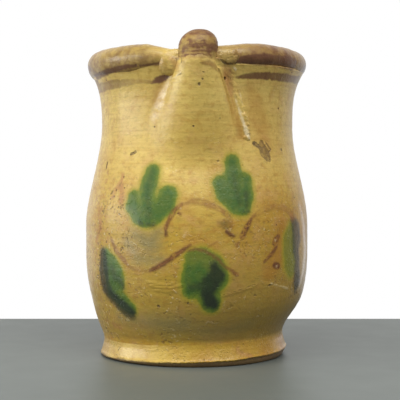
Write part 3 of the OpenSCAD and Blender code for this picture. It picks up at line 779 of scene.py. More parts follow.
class Ground:
    """The honey glaze before any brush stroke: its colour, roughness and relief. Its colour also holds
    painted light towards the top and at the left edge, painted shade towards the right and the foot, and
    painted glints.
    """

    def __init__(self, sheet, colours):
        across = sheet.along("X")
        height = sheet.along("Z")
        self.mottle = sheet.noise(95, 4, 0.6)
        self.grain = sheet.noise(620, 3, 0.6)
        self.blot = sheet.noise(260, 3, 0.6, shift=7.0)
        clouds = sheet.noise(19, 4, 0.55)
        drift = sheet.noise(38, 4, 0.6, stretch=(1, 1, 0.55), shift=4.0)
        rings = sheet.noise(1.0, 4, 0.6, stretch=(26, 26, 560))
        scuff = sheet.noise(1.0, 4, 0.65, stretch=(240, 240, 620), shift=5.0)
        cells = sheet.add("ShaderNodeTexVoronoi", inputs={"Vector": sheet.place, "Scale": 150.0})
        sparse = sheet.step(sheet.noise(60, 2, 0.5, shift=9.0), 0.56, 0.62)
        pit = (1 - sheet.step(cells, 0.05, 0.13)) * sparse
        high = sheet.step(height, 0.085, 0.13)
        cloudy = sheet.step(clouds, 0.34, 0.68) * (0.24 + high * 0.21)
        busy = 1.25 - high * 0.45
        # Straw towards the top: partly the glaze's own paler tone, partly painted light from above.
        tint = sheet.mix(cloudy + high * 0.55, colours.honey, colours.straw)
        # Clouds of other tints: where each starts and is full, how strong it is, and its colour
        clouded = (
            # The first is no cloud but deeper amber towards the right side: partly the glaze's tone, partly
            # painted shade of the side away from the light, less of it towards the top.
            (across, -0.01, 0.07, 0.42 - high * 0.24, colours.amber),
            (drift, 0.46, 0.76, 0.6 - high * 0.4, colours.amber),
            (self.mottle, 0.48, 0.74, busy * 0.4, colours.blush),
            (rings, 0.44, 0.76, 0.3, colours.amber),
            (self.blot, 0.48, 0.7, busy * 0.4, colours.amber),
            (scuff, 0.48, 0.7, busy * 0.34, colours.olive),
        )
        for cloud, start, full, strength, cloud_tint in clouded:
            tint = sheet.mix(sheet.step(cloud, start, full) * strength, tint, cloud_tint)
        worn = sheet.step(sheet.noise(34, 3, 0.6, shift=12.0), 0.46, 0.66)
        fleck = sheet.step(sheet.noise(1.0, 2, 0.5, stretch=(520, 520, 760), shift=8.0), 0.6, 0.7) * worn
        tint = sheet.mix(fleck * 0.2, tint, colours.pale)
        # Pale band along the left edge: a painted sheen, the reflection that the glaze shows at its grazing
        # left edge.
        left_edge_sheen = sheet.step(across + self.mottle.sway(0.02), -0.058, -0.072)
        tint = sheet.mix(left_edge_sheen * 0.42, tint, colours.pale)
        left_side = sheet.step(across + self.mottle.sway(0.03), -0.046, -0.066)
        rubbed = sheet.step(self.grain * 0.5 + self.blot * 0.5, 0.47, 0.58) * left_side
        tint = sheet.mix(rubbed * 0.5, tint, colours.clay)
        # Olive towards the foot, stopping above it and stronger on the right: partly the glaze's tone, partly
        # painted shade under the belly.
        above_foot = sheet.step(height + self.mottle.sway(0.003), 0.0138, 0.0172)
        low = sheet.step(height, 0.10, 0.026) * above_foot
        tint = sheet.mix(low * (0.38 + sheet.step(across, -0.05, 0.03) * 0.28), tint, colours.olive)
        patchy = sheet.step(sheet.noise(45, 3, 0.6, shift=15.0), 0.4, 0.56) * (1 - high)
        patchy = patchy * (0.45 + sheet.step(across, 0.0, -0.05) * 0.55)
        grit = sheet.step(sheet.noise(430, 2, 0.6, shift=14.0), 0.56, 0.68) * patchy
        # Pale sparks among the grit are painted glints.
        painted_glint = sheet.step(sheet.noise(380, 2, 0.6, shift=17.0), 0.6, 0.7) * patchy
        tint = sheet.mix(grit * 0.66, tint, colours.chip_and_shade)
        tint = sheet.mix(painted_glint * 0.6, tint, colours.pale)
        self.tint = sheet.mix(pit * 0.85, tint, colours.chip_and_shade)
        self.roughness = 0.24 + self.mottle * 0.16 + scuff * 0.1 + pit * 0.3
        self.relief = 0.5 + rings.sway(0.16) + self.mottle.sway(0.6) + self.grain.sway(0.26)
        self.relief = self.relief + self.blot.sway(0.5) + scuff.sway(0.2) - pit * 0.5 + fleck * 0.2
        self.relief = self.relief + (painted_glint - grit) * 0.5
        self.gloss = 0.0

    def paint_over(self, sheet, colours):
        """Lays the brush strokes over the glaze, with edges that bleed as the glaze ran. Some strokes are
        painted shade in creases, gaps and holes, and some are painted highlights.
        """
        edge = self.grain.sway(2.2) + self.mottle.sway(2.8)
        # Haze: grey-green clouds in the glaze, and painted shade in the crease left of the duct.
        tint = sheet.mix(sheet.cover("haze", edge * 1.8, -9.0, 5.0) * 0.95, self.tint, colours.haze)
        # Amber: pooled glaze, and painted shade in the crease left of the duct.
        tint = sheet.mix(sheet.cover("amber", edge * 1.6, -4.0, 3.4), tint, colours.amber)
        leaf = sheet.attribute("leaf") + edge * 0.7
        tint = sheet.mix((1 - sheet.step(leaf, 0.2, 3.6)) * 0.65, tint, colours.bleed)
        streaks = sheet.noise(1.0, 4, 0.6, stretch=(330, 330, 90), shift=2.0)
        green = sheet.mix(sheet.step(leaf + streaks.sway(5.0), 0.2, -3.6), colours.leaf, colours.leaf_cool)
        leaf_cover = sheet.cover("leaf", edge * 0.7, -0.8, 1.0)
        tint = sheet.mix(leaf_cover * (0.8 + self.blot * 0.3), tint, green)
        dark = sheet.cover("dark", edge * 1.2, -2.4, 1.8)
        tint = sheet.mix(dark * (0.75 + streaks * 0.4), tint, colours.leaf_dark)
        stem_edge = edge * 0.5 + self.blot.sway(2.6)
        broken = sheet.step(self.blot + self.grain.sway(0.5), 0.3, 0.52)
        outline = (1 - sheet.step(abs(sheet.attribute("stem") + stem_edge + 0.4), 0.0, 0.9)) * broken
        thick = sheet.step(sheet.attribute("stem_load"), 0.75, 1.0) * broken
        stem_tint = sheet.mix(outline * 0.5 + thick * 0.4, colours.stem, colours.stem_dark)
        stem = sheet.cover("stem", stem_edge, -1.0, 1.0)
        wear = sheet.step(self.mottle + self.grain.sway(0.6), 0.28, 0.5)
        tint = sheet.mix(stem * (0.3 + wear * 0.35 + broken * 0.35), tint, stem_tint)
        bare = sheet.cover("bare", edge * 1.4, -1.2, 1.4)
        crumbs = sheet.step(sheet.noise(420, 2, 0.5, shift=3.0), 0.58, 0.66)
        tint = sheet.mix(bare, tint, sheet.mix(crumbs * 0.6, colours.clay, colours.chip_and_shade))
        band = sheet.cover("band", edge * 0.7, -0.7, 0.6)
        band_tint = sheet.mix(wear * 0.75, colours.stem_dark, colours.band)
        tint = sheet.mix(band * (0.62 + wear * 0.2 + streaks * 0.3), tint, band_tint)
        # Pale: glaze thinned over edges, and painted highlights on the coil, the pads, the specks and the
        # glint touches.
        pale = sheet.cover("pale", edge * 0.7, -0.5, 0.6)
        tint = sheet.mix(pale, tint, colours.pale)
        # Chips and pits, and painted shade in the vent, the gaps and the hollows beside the nozzle.
        chip_and_shade = sheet.cover("chip_and_shade", edge * 0.6, -0.3, 0.5)
        chip_and_shade = chip_and_shade * (0.6 + sheet.step(self.grain * 0.5 + self.blot * 0.5, 0.42, 0.54) * 0.4)
        chip_and_shade_tint = sheet.mix(sheet.step(self.blot, 0.46, 0.62) * 0.7, colours.chip_and_shade, colours.foot_clay)
        self.tint = sheet.mix(chip_and_shade * 0.95, tint, chip_and_shade_tint)
        self.gloss = sheet.cover("gloss", edge, -3.0, 2.0)
        self.roughness = self.roughness + bare * 0.2 + chip_and_shade * 0.3
        self.relief = self.relief - chip_and_shade * 0.9 + dark * 0.3 + stem * 0.2 - bare * 0.25
        self.relief = self.relief + sheet.cover("ripple", 0.0, -0.9, 1.5) * 0.75 + pale * self.grain * 1.2

    def collar(self, sheet):
        """Share of the nozzle's brown stain, from none below its collar to full above it."""
        return sheet.step(sheet.along("Z") + self.blot.sway(0.005), 0.1832, 0.1874)


def honey_glaze(colours):
    """Glaze of the painted pieces: the pot, the duct and its coils."""
    sheet = Sheet("painted_honey")
    ground = Ground(sheet, colours)
    ground.paint_over(sheet, colours)
    tint = sheet.mix(ground.collar(sheet) * 0.6, ground.tint, colours.umber)
    inner_tint = sheet.mix(ground.mottle, colours.inside, colours.amber)
    tint = sheet.mix(sheet.attribute("inside"), tint, inner_tint)
    roughness = ground.roughness + 0.06 - ground.gloss * 0.2
    coat = 0.22 + ground.gloss * 0.78
    return sheet.finish(tint, roughness, ground.relief, depth=0.0005, coat=coat, coat_roughness=0.2)


def plain_glaze(colours):
    """Honey glaze without brush strokes, for the handle."""
    sheet = Sheet("plain_honey")
    ground = Ground(sheet, colours)
    return sheet.finish(ground.tint, ground.roughness, ground.relief, depth=0.0005)


def rim_glaze(colours):
    """Glaze of the rim and its pads, stained brown by the brush, with the upper band."""
    sheet = Sheet("stained_rim")
    ground = Ground(sheet, colours)
    across = sheet.along("X")
    stain = sheet.step(sheet.noise(70, 4, 0.65, shift=6.0) * 0.65 + ground.blot * 0.35, 0.4, 0.62)
    right = sheet.step(across, -0.02, 0.03)
    brown = 0.46 + right * 0.16 + stain * 0.34
    pad = 0.22 + sheet.step(across, 0.0, 0.012) * 0.3
    brown = brown * (pad + sheet.step(abs(across), 0.016, 0.034) * (1 - pad))
    stained = sheet.mix(0.74 + right * 0.26, colours.olive, colours.umber)
    ground.tint = sheet.mix(brown, ground.tint, stained)
    ground.paint_over(sheet, colours)
    roughness = ground.roughness + 0.04 - ground.gloss * 0.16
    coat = 0.28 + ground.gloss * 0.6
    return sheet.finish(ground.tint, roughness, ground.relief, depth=0.0006, coat=coat)


def nozzle_glaze(colours):
    """Glaze of the nozzle, mottled brown along its throwing lines and dark round its lip."""
    sheet = Sheet("mottled_nozzle")
    ground = Ground(sheet, colours)
    height = sheet.along("Z")
    streaks = sheet.noise(1.0, 4, 0.6, stretch=(110, 110, 520), shift=3.0)
    blots = sheet.noise(170, 4, 0.65, shift=1.0)
    brown = sheet.step(streaks * 0.5 + blots * 0.5, 0.42, 0.6)
    tint = sheet.mix((0.5 + brown * 0.45) * ground.collar(sheet), ground.tint, colours.umber)
    tint = sheet.mix(sheet.step(blots, 0.55, 0.68) * 0.75, tint, colours.band)
    lip = sheet.step(height + blots.sway(0.004), 0.2014, 0.2026)
    tint = sheet.mix(lip * 0.8, tint, colours.band)
    shade = sheet.step(sheet.along("X") + blots.sway(0.012), 0.002, 0.009)
    shade = shade * (1 - sheet.step(abs(height - 0.1915), 0.0012, 0.0034))
    tint = sheet.mix(shade * 0.85, tint, colours.band)
    tint = sheet.mix(sheet.step(height, 0.1955, 0.2025) * 0.75, tint, colours.umber)
    relief = ground.relief * 0.7 + streaks * 0.8
    return sheet.finish(tint, ground.roughness + 0.2, relief, depth=0.0005, coat=0.1)


def foot_glaze(colours):
    """Glaze of the foot, which stops short of the bare clay that stands on the table."""
    sheet = Sheet("amber_foot")
    ground = Ground(sheet, colours)
    across = sheet.along("X")
    height = sheet.along("Z")
    pools = sheet.step(sheet.noise(1.0, 3, 0.5, stretch=(60, 60, 24), shift=3.0), 0.4, 0.64)
    glossy = 1 - sheet.step(height + ground.mottle.sway(0.003), 0.0125, 0.0155)
    # Straw on the foot's left is painted light, and the amber towards its right, added to the pooled glaze,
    # is painted shade.
    lit_left_tint = sheet.mix(sheet.step(across, -0.05, 0.01), colours.straw, colours.honey)
    pools_and_side_shade = pools * 0.5 + sheet.step(across, 0.005, 0.05) * 0.4
    ground.tint = sheet.mix(glossy * 0.75, ground.tint, sheet.mix(pools_and_side_shade, lit_left_tint, colours.amber))
    ground.paint_over(sheet, colours)
    slant = height - across * 0.022 + 0.0004
    ragged = slant + ground.mottle.sway(0.003) + ground.grain.sway(0.001)
    bare = 1 - sheet.step(ragged, 0.0030, 0.0037)
    bead = 1 - sheet.step(abs(ragged - 0.0043), 0.0, 0.0009)
    dull = sheet.mix(ground.mottle * 0.4, colours.foot_clay, colours.clay)
    tint = sheet.mix(bare * 0.92, ground.tint, dull)
    relief = ground.relief - bare * 0.8 + bead * 0.5
    roughness = ground.roughness + 0.02 + bare * 0.35
    return sheet.finish(tint, roughness, relief, depth=0.0009, coat=0.45, coat_roughness=0.22)


def inner_glaze(colours):
    """Thin dark glaze of the pipe inside the pot."""
    sheet = Sheet("dark_inside")
    ground = Ground(sheet, colours)
    tint = sheet.mix(0.7, ground.tint, colours.inside)
    return sheet.finish(tint, ground.roughness + 0.1, ground.relief, depth=0.0003)


def material(name, maker):
    """A finish, made when the first piece asks for it."""
    return bpy.data.materials.get(name) or maker(bpy.context.scene.glaze_colours)


def deliver(bm, name, finish, slot, *nodes):
    """Closes a piece: one mesh at the origin that stands for its CAD nodes."""
    bmesh.ops.remove_doubles(bm, verts=bm.verts[:], dist=WELD)
    bmesh.ops.recalc_face_normals(bm, faces=bm.faces[:])
    if any(edge.is_boundary for edge in bm.edges):
        raise RuntimeError(name + " has an open edge")
    mesh = bpy.data.meshes.new(name)
    bm.to_mesh(mesh)
    bm.free()
    mesh.shade_smooth()
    mesh.materials.append(finish)
    piece = bpy.data.objects.new(name, mesh)
    bpy.context.scene.collection.objects.link(piece)
    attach(piece, "root")
    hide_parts(*nodes)
    return piece


def turn_profile(bm, profile, steps, centre=(0.0, 0.0, 0.0), closed=True):
    """Turns a profile of radius and height once round an upright axis."""
    verts = [bm.verts.new((centre[0] + radius, centre[1], height)) for radius, height in profile]
    edges = [bm.edges.new(pair) for pair in zip(verts, verts[1:])]
    if closed:
        edges.append(bm.edges.new((verts[-1], verts[0])))
    bmesh.ops.spin(
        bm, geom=verts + edges, cent=centre, axis=(0, 0, 1), angle=2 * math.pi, steps=steps, use_merge=True)
    bmesh.ops.remove_doubles(bm, verts=bm.verts[:], dist=WELD)


def cap_ends(bm):
    """Closes the open ends of a tube."""
    bmesh.ops.holes_fill(bm, edges=[edge for edge in bm.edges if edge.is_boundary], sides=0)


def punch(bm, centre, way, radius):
    """Cuts a round hole through a sheet, along a direction."""
    way = way.normalized()
    around = 8 * MM

    def offset(point):
        arm = point - centre
        return arm - way * arm.dot(way)

    near = [face for face in bm.faces if (face.calc_center_median() - centre).length < around]
    doomed = [face for face in near if offset(face.calc_center_median()).length < radius]
    if not doomed:
        raise RuntimeError("the hole misses the sheet")
    bmesh.ops.delete(bm, geom=doomed, context="FACES")
    edge_verts = {vert for edge in bm.edges if edge.is_boundary for vert in edge.verts}
    for vert in edge_verts:
        arm = offset(vert.co)
        if arm.length < 2.2 * radius and (vert.co - centre).length < around:
            vert.co += arm.normalized() * radius - arm


def draw_out(bm, edges, way):
    """Draws edges out into a wall along a direction, and gives what was made."""
    made = bmesh.ops.extrude_edge_only(bm, edges=edges)["geom"]
    verts = [item for item in made if isinstance(item, bmesh.types.BMVert)]
    bmesh.ops.translate(bm, verts=verts, vec=way)
    return made


def sink_hole(bm, centre, way, radius, depth):
    """Sinks a blind round hole into a closed piece, along a direction that points out of it."""
    punch(bm, centre, way, radius)
    draw_out(bm, [edge for edge in bm.edges if edge.is_boundary], way.normalized() * -depth)
    cap_ends(bm)


def rough(point, scale, seed):
    """Lumpy noise from about -1 to 1. Scale counts lumps to the metre."""
    return noise.noise(Vector((point.x * scale + seed, point.y * scale - seed, point.z * scale + 2 * seed)))


class JugPiece:
    """What the operators of the pieces share."""

    bl_options = {"REGISTER", "UNDO"}

    def form(self, context):
        return Form(context.scene.jug_sizes)

    def strokes(self, context):
        return all_strokes(self.form(context), context.scene.stage_look)


class JUG_OT_throw_foot(JugPiece, bpy.types.Operator):
    """Throw the clay ring round the base out into the flared foot"""

    bl_idname = "jug.throw_foot"
    bl_label = "Throw foot"

    def execute(self, context):
        s = context.scene.jug_sizes
        form = self.form(context)
        stand = s.foot_stand_radius
        hole = s.foot_inner_radius
        edge = s.foot_radius + 0.03 * MM
        profile = [
            (hole, 0.7 * MM), (hole + 0.7 * MM, 0.0), (hole + 5 * MM, 0.0), (stand - 1.2 * MM, 0.0),
            (stand, 0.5 * MM), (stand + 0.9 * MM, 1.5 * MM), (edge - 0.3 * MM, 2.7 * MM), (edge, 3.3 * MM),
        ]
        top = s.waist_height + 1.5 * MM
        rows = 24
        for row in range(rows + 1):
            height = s.foot_edge + (top - s.foot_edge) * row / rows
            sink = ease(clamp((height - s.foot_height - 0.3 * MM) / (4 * MM)))
            profile.append((form.wall(height) + (0.04 - 0.3 * sink) * MM, height))
        profile += [
            (form.wall(top) - 0.9 * MM, top + 0.3 * MM), (s.waist_radius - 3 * MM, s.foot_height),
            (hole + 3 * MM, s.foot_height), (hole, s.foot_height),
        ]
        bm = bmesh.new()
        turn_profile(bm, profile, steps=320)
        for vert in bm.verts:
            point = vert.co
            if math.hypot(point.x, point.y) > s.waist_radius - 2 * MM and point.z > 0.3 * MM:
                ragged = 0.3 * rough(point, 70, 4.2) + 0.22 * rough(point, 210, 1.9)
                ragged *= max(0.0, 1 - abs(point.z - s.foot_edge) / (4 * MM))
                vert.co = form.settle(point.x, point.y, point.z)
                vert.co += Vector((point.x, point.y, 0)).normalized() * ragged * MM
            else:
                point.x += form.lean(0.0)
        piece = deliver(bm, "foot_flared", material("amber_foot", foot_glaze), "foot_glaze", "foot_ring")
        paint(piece.data, self.strokes(context))
        return {"FINISHED"}


class JUG_OT_throw_pot(JugPiece, bpy.types.Operator):
    """Throw the belly, shoulder, neck and lip in one wall, and paint them"""

    bl_idname = "jug.throw_pot"
    bl_label = "Throw pot"

    def execute(self, context):
        s = context.scene.jug_sizes
        form = self.form(context)
        rows = 184
        inner_rows = 34
        hole = s.foot_inner_radius
        profile = [
            (0.0, 0.0), (hole * 0.5, 0.0), (hole - 0.6 * MM, 0.0), (hole, 0.6 * MM), (hole, s.foot_height),
        ]
        heights = [s.foot_height + (s.lip_height - s.foot_height) * row / rows for row in range(rows + 1)]
        profile += [(form.wall(height), height) for height in heights]
        profile.append((s.lip_radius - 2.5 * MM, s.lip_height + 1.6 * MM))
        profile.append((s.ring_radius, s.lip_height + 1.0 * MM))
        fillet = 5 * MM
        low = s.floor_height + fillet
        heights = [s.lip_height + (low - s.lip_height) * row / inner_rows for row in range(inner_rows + 1)]
        profile += [(form.wall(height) - s.wall, height) for height in heights]
        corner = form.wall(low) - s.wall - fillet
        fillet_rows = 5
        for row in range(1, fillet_rows + 1):
            angle = math.radians(90 * row / fillet_rows)
            profile.append((corner + fillet * math.cos(angle), low - fillet * math.sin(angle)))
        profile += [(corner * share, s.floor_height) for share in (0.75, 0.5, 0.25, 0.0)]
        bm = bmesh.new()
        turn_profile(bm, profile, steps=360, closed=False)
        inside = bm.verts.layers.float.new("inside")
        slack = 0.01 * MM
        for vert in bm.verts:
            self.gather(vert.co)
            point = vert.co
            outward = math.hypot(point.x, point.y)
            if outward > form.wall(point.z) - 0.5 * s.wall and point.z > s.foot_height - slack:
                vert.co = form.settle(point.x, point.y, point.z)
                continue
            if point.z > s.floor_height - slack:
                vert[inside] = 1.0
            if point.z > s.floor_height and outward > 1 * MM:
                bearing = math.atan2(point.x, -point.y)
                groove = 0.22 * math.sin(point.z * 2 * math.pi / INNER_LINE + bearing)
                scale = 1 + (groove + 0.5 * rough(point, 12, 5.0)) * MM / outward
                point.x *= scale
                point.y *= scale
            point.x += form.lean(point.z)
        piece = deliver(bm, "pot_thrown", material("painted_honey", honey_glaze), "honey_glaze", "pot")
        marks = np.empty(len(piece.data.vertices), np.float32)
        piece.data.attributes["inside"].data.foreach_get("value", marks)
        paint(piece.data, self.strokes(context), np.flatnonzero(marks < 0.5))
        return {"FINISHED"}

    def gather(self, point):
        """Draws the mesh closer together at the front, where the finest strokes are."""
        bearing = math.atan2(point.x, -point.y)
        reach = math.hypot(point.x, point.y)
        bearing -= 0.4 * math.sin(bearing)
        point.x = reach * math.sin(bearing)
        point.y = -reach * math.cos(bearing)


class JUG_OT_roll_rim(JugPiece, bpy.types.Operator):
    """Roll the hollow rim's two lobes, which dip towards the nozzle"""

    bl_idname = "jug.roll_rim"
    bl_label = "Roll rim"

    def execute(self, context):
        s = context.scene.jug_sizes
        form = self.form(context)
        strokes = self.strokes(context)
        start = math.radians(9.5)
        sweep = math.radians(166)
        lobes = (
            (-1, s.left_dip, "rim_lobe_left", "rim_arm_left"),
            (1, s.right_dip, "rim_lobe_right", "rim_arm_right"),
        )
        for side, dip, name, node in lobes:
            bm = bmesh.new()
            upright = Matrix.Rotation(math.radians(90), 4, "X")
            front = Matrix.Translation((0, -s.ring_radius, s.rim_height))
            place = Matrix.Rotation(side * start, 4, "Z") @ front
            section = Matrix.Rotation(math.radians(90), 4, "Z")
            bmesh.ops.create_circle(
                bm, segments=48, radius=s.roll_radius, matrix=place @ section @ upright)
            bmesh.ops.spin(
                bm, geom=bm.verts[:] + bm.edges[:], cent=(0, 0, 0), axis=(0, 0, 1),
                angle=side * sweep, steps=240)
            cap_ends(bm)
            for vert in bm.verts:
                self.shape(vert, form, side, dip)
            piece = deliver(bm, name, material("stained_rim", rim_glaze), "rim_glaze", node)
            paint(piece.data, strokes)
        return {"FINISHED"}

    def shape(self, vert, form, side, dip):
        """Lets the roll fall towards the nozzle, and leaves it as uneven as a hand makes it."""
        s = form.sizes
        point = vert.co
        outward = math.hypot(point.x, point.y)
        bearing = abs(math.degrees(math.atan2(point.x, -point.y)))
        # In degrees: where the lobe starts to fall, and the bearing over which it falls
        fall_start = 28
        fall_width = 17
        # Where the right lobe humps, and how wide
        hump_bearing = 45
        hump_width = 16
        # Where the lobe's end starts to narrow, and over what bearing
        narrow_start = 14
        narrow_width = 5
        fall = dip * clamp((fall_start - bearing) / fall_width)
        across = outward - s.ring_radius
        rise = point.z - s.rim_height
        rise = rise * form.roll_depth(point) if rise < 0 else rise
        rise = rise * (1 - fall / (2 * s.roll_radius)) - fall / 2
        if side > 0:
            rise += 0.8 * MM * math.exp(-((bearing - hump_bearing) / hump_width) ** 2)
        across *= 1 - 0.3 * clamp((narrow_start - bearing) / narrow_width)
        wobble = 0.35 * rough(point, 32, 2.0) + 0.25 * rough(point, 110, 6.0) + 0.1 * rough(point, 300, 1.0)
        spread = math.hypot(across, rise) or 1.0
        across += wobble * MM * across / spread
        rise += wobble * MM * rise / spread
        scale = (s.ring_radius + across) / outward
        point.x *= scale
        point.y *= scale
        point.z = s.rim_height + rise


class JUG_OT_press_pads(JugPiece, bpy.types.Operator):
    """Press the pads of clay that join the rim's lobes to the nozzle"""

    bl_idname = "jug.press_pads"
    bl_label = "Press pads"

    def execute(self, context):
        strokes = self.strokes(context)
        # Piece, solid, centre, radii, share of crumbled clay and seed of its noise
        pads = (
            ("rim_lump_left", "rim_pad_left",
             (-0.0132, -0.0636, 0.1836), (0.0100, 0.0066, 0.0086), 0.34, 3.0),
            ("rim_lump_right", "rim_pad_right",
             (0.0178, -0.0636, 0.1870), (0.0082, 0.0056, 0.0056), 0.5, 9.0),
        )
        squareness = 2.8
        # Share of the radii that leaves room for the crumbled clay
        room = 0.94
        # How far the lower half slopes back towards the neck
        slope = 0.2
        for name, node, centre, radii, crumble, seed in pads:
            bm = bmesh.new()
            bmesh.ops.create_icosphere(bm, subdivisions=5, radius=1.0)
            for vert in bm.verts:
                square = sum(abs(part) ** squareness for part in vert.co) ** (1 / squareness)
                lump = Vector(part * radius / square for part, radius in zip(vert.co, radii)) * room
                point = Vector(centre) + lump
                uneven = 0.6 * rough(point, 150, seed) + crumble * rough(point, 420, seed + 1)
                uneven += 0.7 * crumble * rough(point, 900, seed + 2)
                vert.co = point + lump.normalized() * uneven * MM
                vert.co.y += slope * max(0.0, centre[2] - point.z)
            piece = deliver(bm, name, material("stained_rim", rim_glaze), "rim_glaze", node)
            paint(piece.data, strokes)
        return {"FINISHED"}


class JUG_OT_set_nozzle(JugPiece, bpy.types.Operator):
    """Throw the drinking nozzle and set it over the duct"""

    bl_idname = "jug.set_nozzle"
    bl_label = "Set nozzle"

    def execute(self, context):
        s = context.scene.jug_sizes
        shoulder = s.nozzle_top - s.nozzle_dome
        base = s.lip_height - 2 * MM
        outer = s.nozzle_radius - 0.3 * MM
        chamber = 8 * MM
        chamfer = 1 * MM
        profile = [(s.nozzle_radius - 2 * MM, base)]
        rows = 44
        for row in range(rows + 1):
            profile.append((outer, base + chamfer + (shoulder - base - chamfer) * row / rows))
        full = math.acos(s.drink_bore / outer)
        dome_rows = 20
        for row in range(1, dome_rows + 1):
            angle = full * row / dome_rows
            rise = s.nozzle_dome * math.sin(angle) / math.sin(full)
            profile.append((outer * math.cos(angle), shoulder + rise))
        profile += [
            (s.drink_bore - 0.5 * MM, s.nozzle_top - 0.4 * MM),
            (s.drink_bore - 0.2 * MM, s.nozzle_top - 2 * MM),
            (s.drink_bore, s.nozzle_top - 11 * MM), (chamber, s.nozzle_top - 12.5 * MM), (chamber, base),
        ]
        bm = bmesh.new()
        turn_profile(bm, profile, steps=160, centre=(0.0, -s.nozzle_reach, 0.0))
        axis = Vector((0, -s.nozzle_reach, 0))
        for vert in bm.verts:
            arm = vert.co - axis
            arm.z = 0
            rise = clamp((vert.co.z - s.lip_height) / (s.nozzle_top - s.lip_height))
            if arm.length > s.drink_bore + 0.6 * MM:
                turn = math.atan2(arm.x, -arm.y)
                line = 0.04 * math.sin(vert.co.z * 2 * math.pi / NOZZLE_LINE + 0.8 * math.sin(turn))
                uneven = line * (0.4 + rise) + 0.3 * rough(vert.co, 90, 3.3) + 0.1 * rough(vert.co, 380, 7.1)
                vert.co += arm.normalized() * uneven * MM
            vert.co.x += s.nozzle_lean * rise
        deliver(bm, "nozzle_thrown", material("mottled_nozzle", nozzle_glaze), "nozzle_glaze", "nozzle")
        return {"FINISHED"}


class JUG_OT_lay_duct(JugPiece, bpy.types.Operator):
    """Lay the half-round duct on the neck, smoothed into the wall round its edge"""

    bl_idname = "jug.lay_duct"
    bl_label = "Lay duct"

    def execute(self, context):
        s = context.scene.jug_sizes
        form = self.form(context)
        low = s.duct_low - 16 * MM
        overlap = 4 * MM
        bm = bmesh.new()
        bmesh.ops.create_grid(bm, x_segments=170, y_segments=150, size=0.5)
        for vert in bm.verts:
            across = vert.co.x + 0.5
            along = vert.co.y + 0.5
            collar = clamp(0.5 - 2.2 * (abs(across - 0.5) - 0.34))
            ragged = noise.noise(Vector((across * 9, 3.3, 0.0)))
            ragged += 0.5 * noise.noise(Vector((across * 31, 1.1, 0.0)))
            bump = math.exp(-((across - 0.6) / 0.09) ** 2)
            high = s.lip_height + (1.6 + 3.4 * collar + 1.6 * bump + 0.35 * ragged) * MM
            height = low + (high - low) * along
            left, right = duct_fillets(s, height)
            radius = form.duct_radius(height)
            first = -form.duct_turn(height, radius + left + overlap)
            last = form.duct_turn(height, radius + right + overlap)
            fillet = left + (right - left) * across
            turn = first + (last - first) * across
            reach, lead = form.duct_skin(turn, height, fillet)
            sink = max(0.0, (lead - fillet) / overlap)
            reach -= 0.7 * MM * sink * sink
            edge = clamp((high - height) / (5 * MM))
            step = clamp((height - s.lip_height + 4 * MM) / (4 * MM))
            reach += (0.15 * step - 0.9 * (1 - edge) ** 2) * MM
            vert.co = form.duct_point(turn, height, reach)
        centre, way = duct_vent(form, 0.0)
        punch(bm, centre, way, s.vent_radius)
        bmesh.ops.solidify(bm, geom=bm.faces[:], thickness=2.5 * MM)
        piece = deliver(bm, "duct_laid", material("painted_honey", honey_glaze), "honey_glaze", "spout_duct")
        paint(piece.data, self.strokes(context))
        return {"FINISHED"}


def duct_fillets(s, height):
    """Fillets at the left and right edge of the duct, both fading below."""
    fade = clamp((height - s.duct_low + 4 * MM) / (30 * MM))
    return (3.4 + 2.6 * fade) * MM, (3.2 + 0.8 * fade) * MM


def duct_vent(form, lift):
    """Where the vent opens on the duct's right flank, and the direction that it faces."""
    s = form.sizes
    turn = math.radians(79)
    facing = math.radians(40)
    reach = form.duct_skin(turn, s.vent_height, duct_fillets(s, s.vent_height)[1])[0]
    way = Vector((math.sin(facing), -math.cos(facing), 0.0))
    return form.duct_point(turn, s.vent_height, reach) + way * lift, way


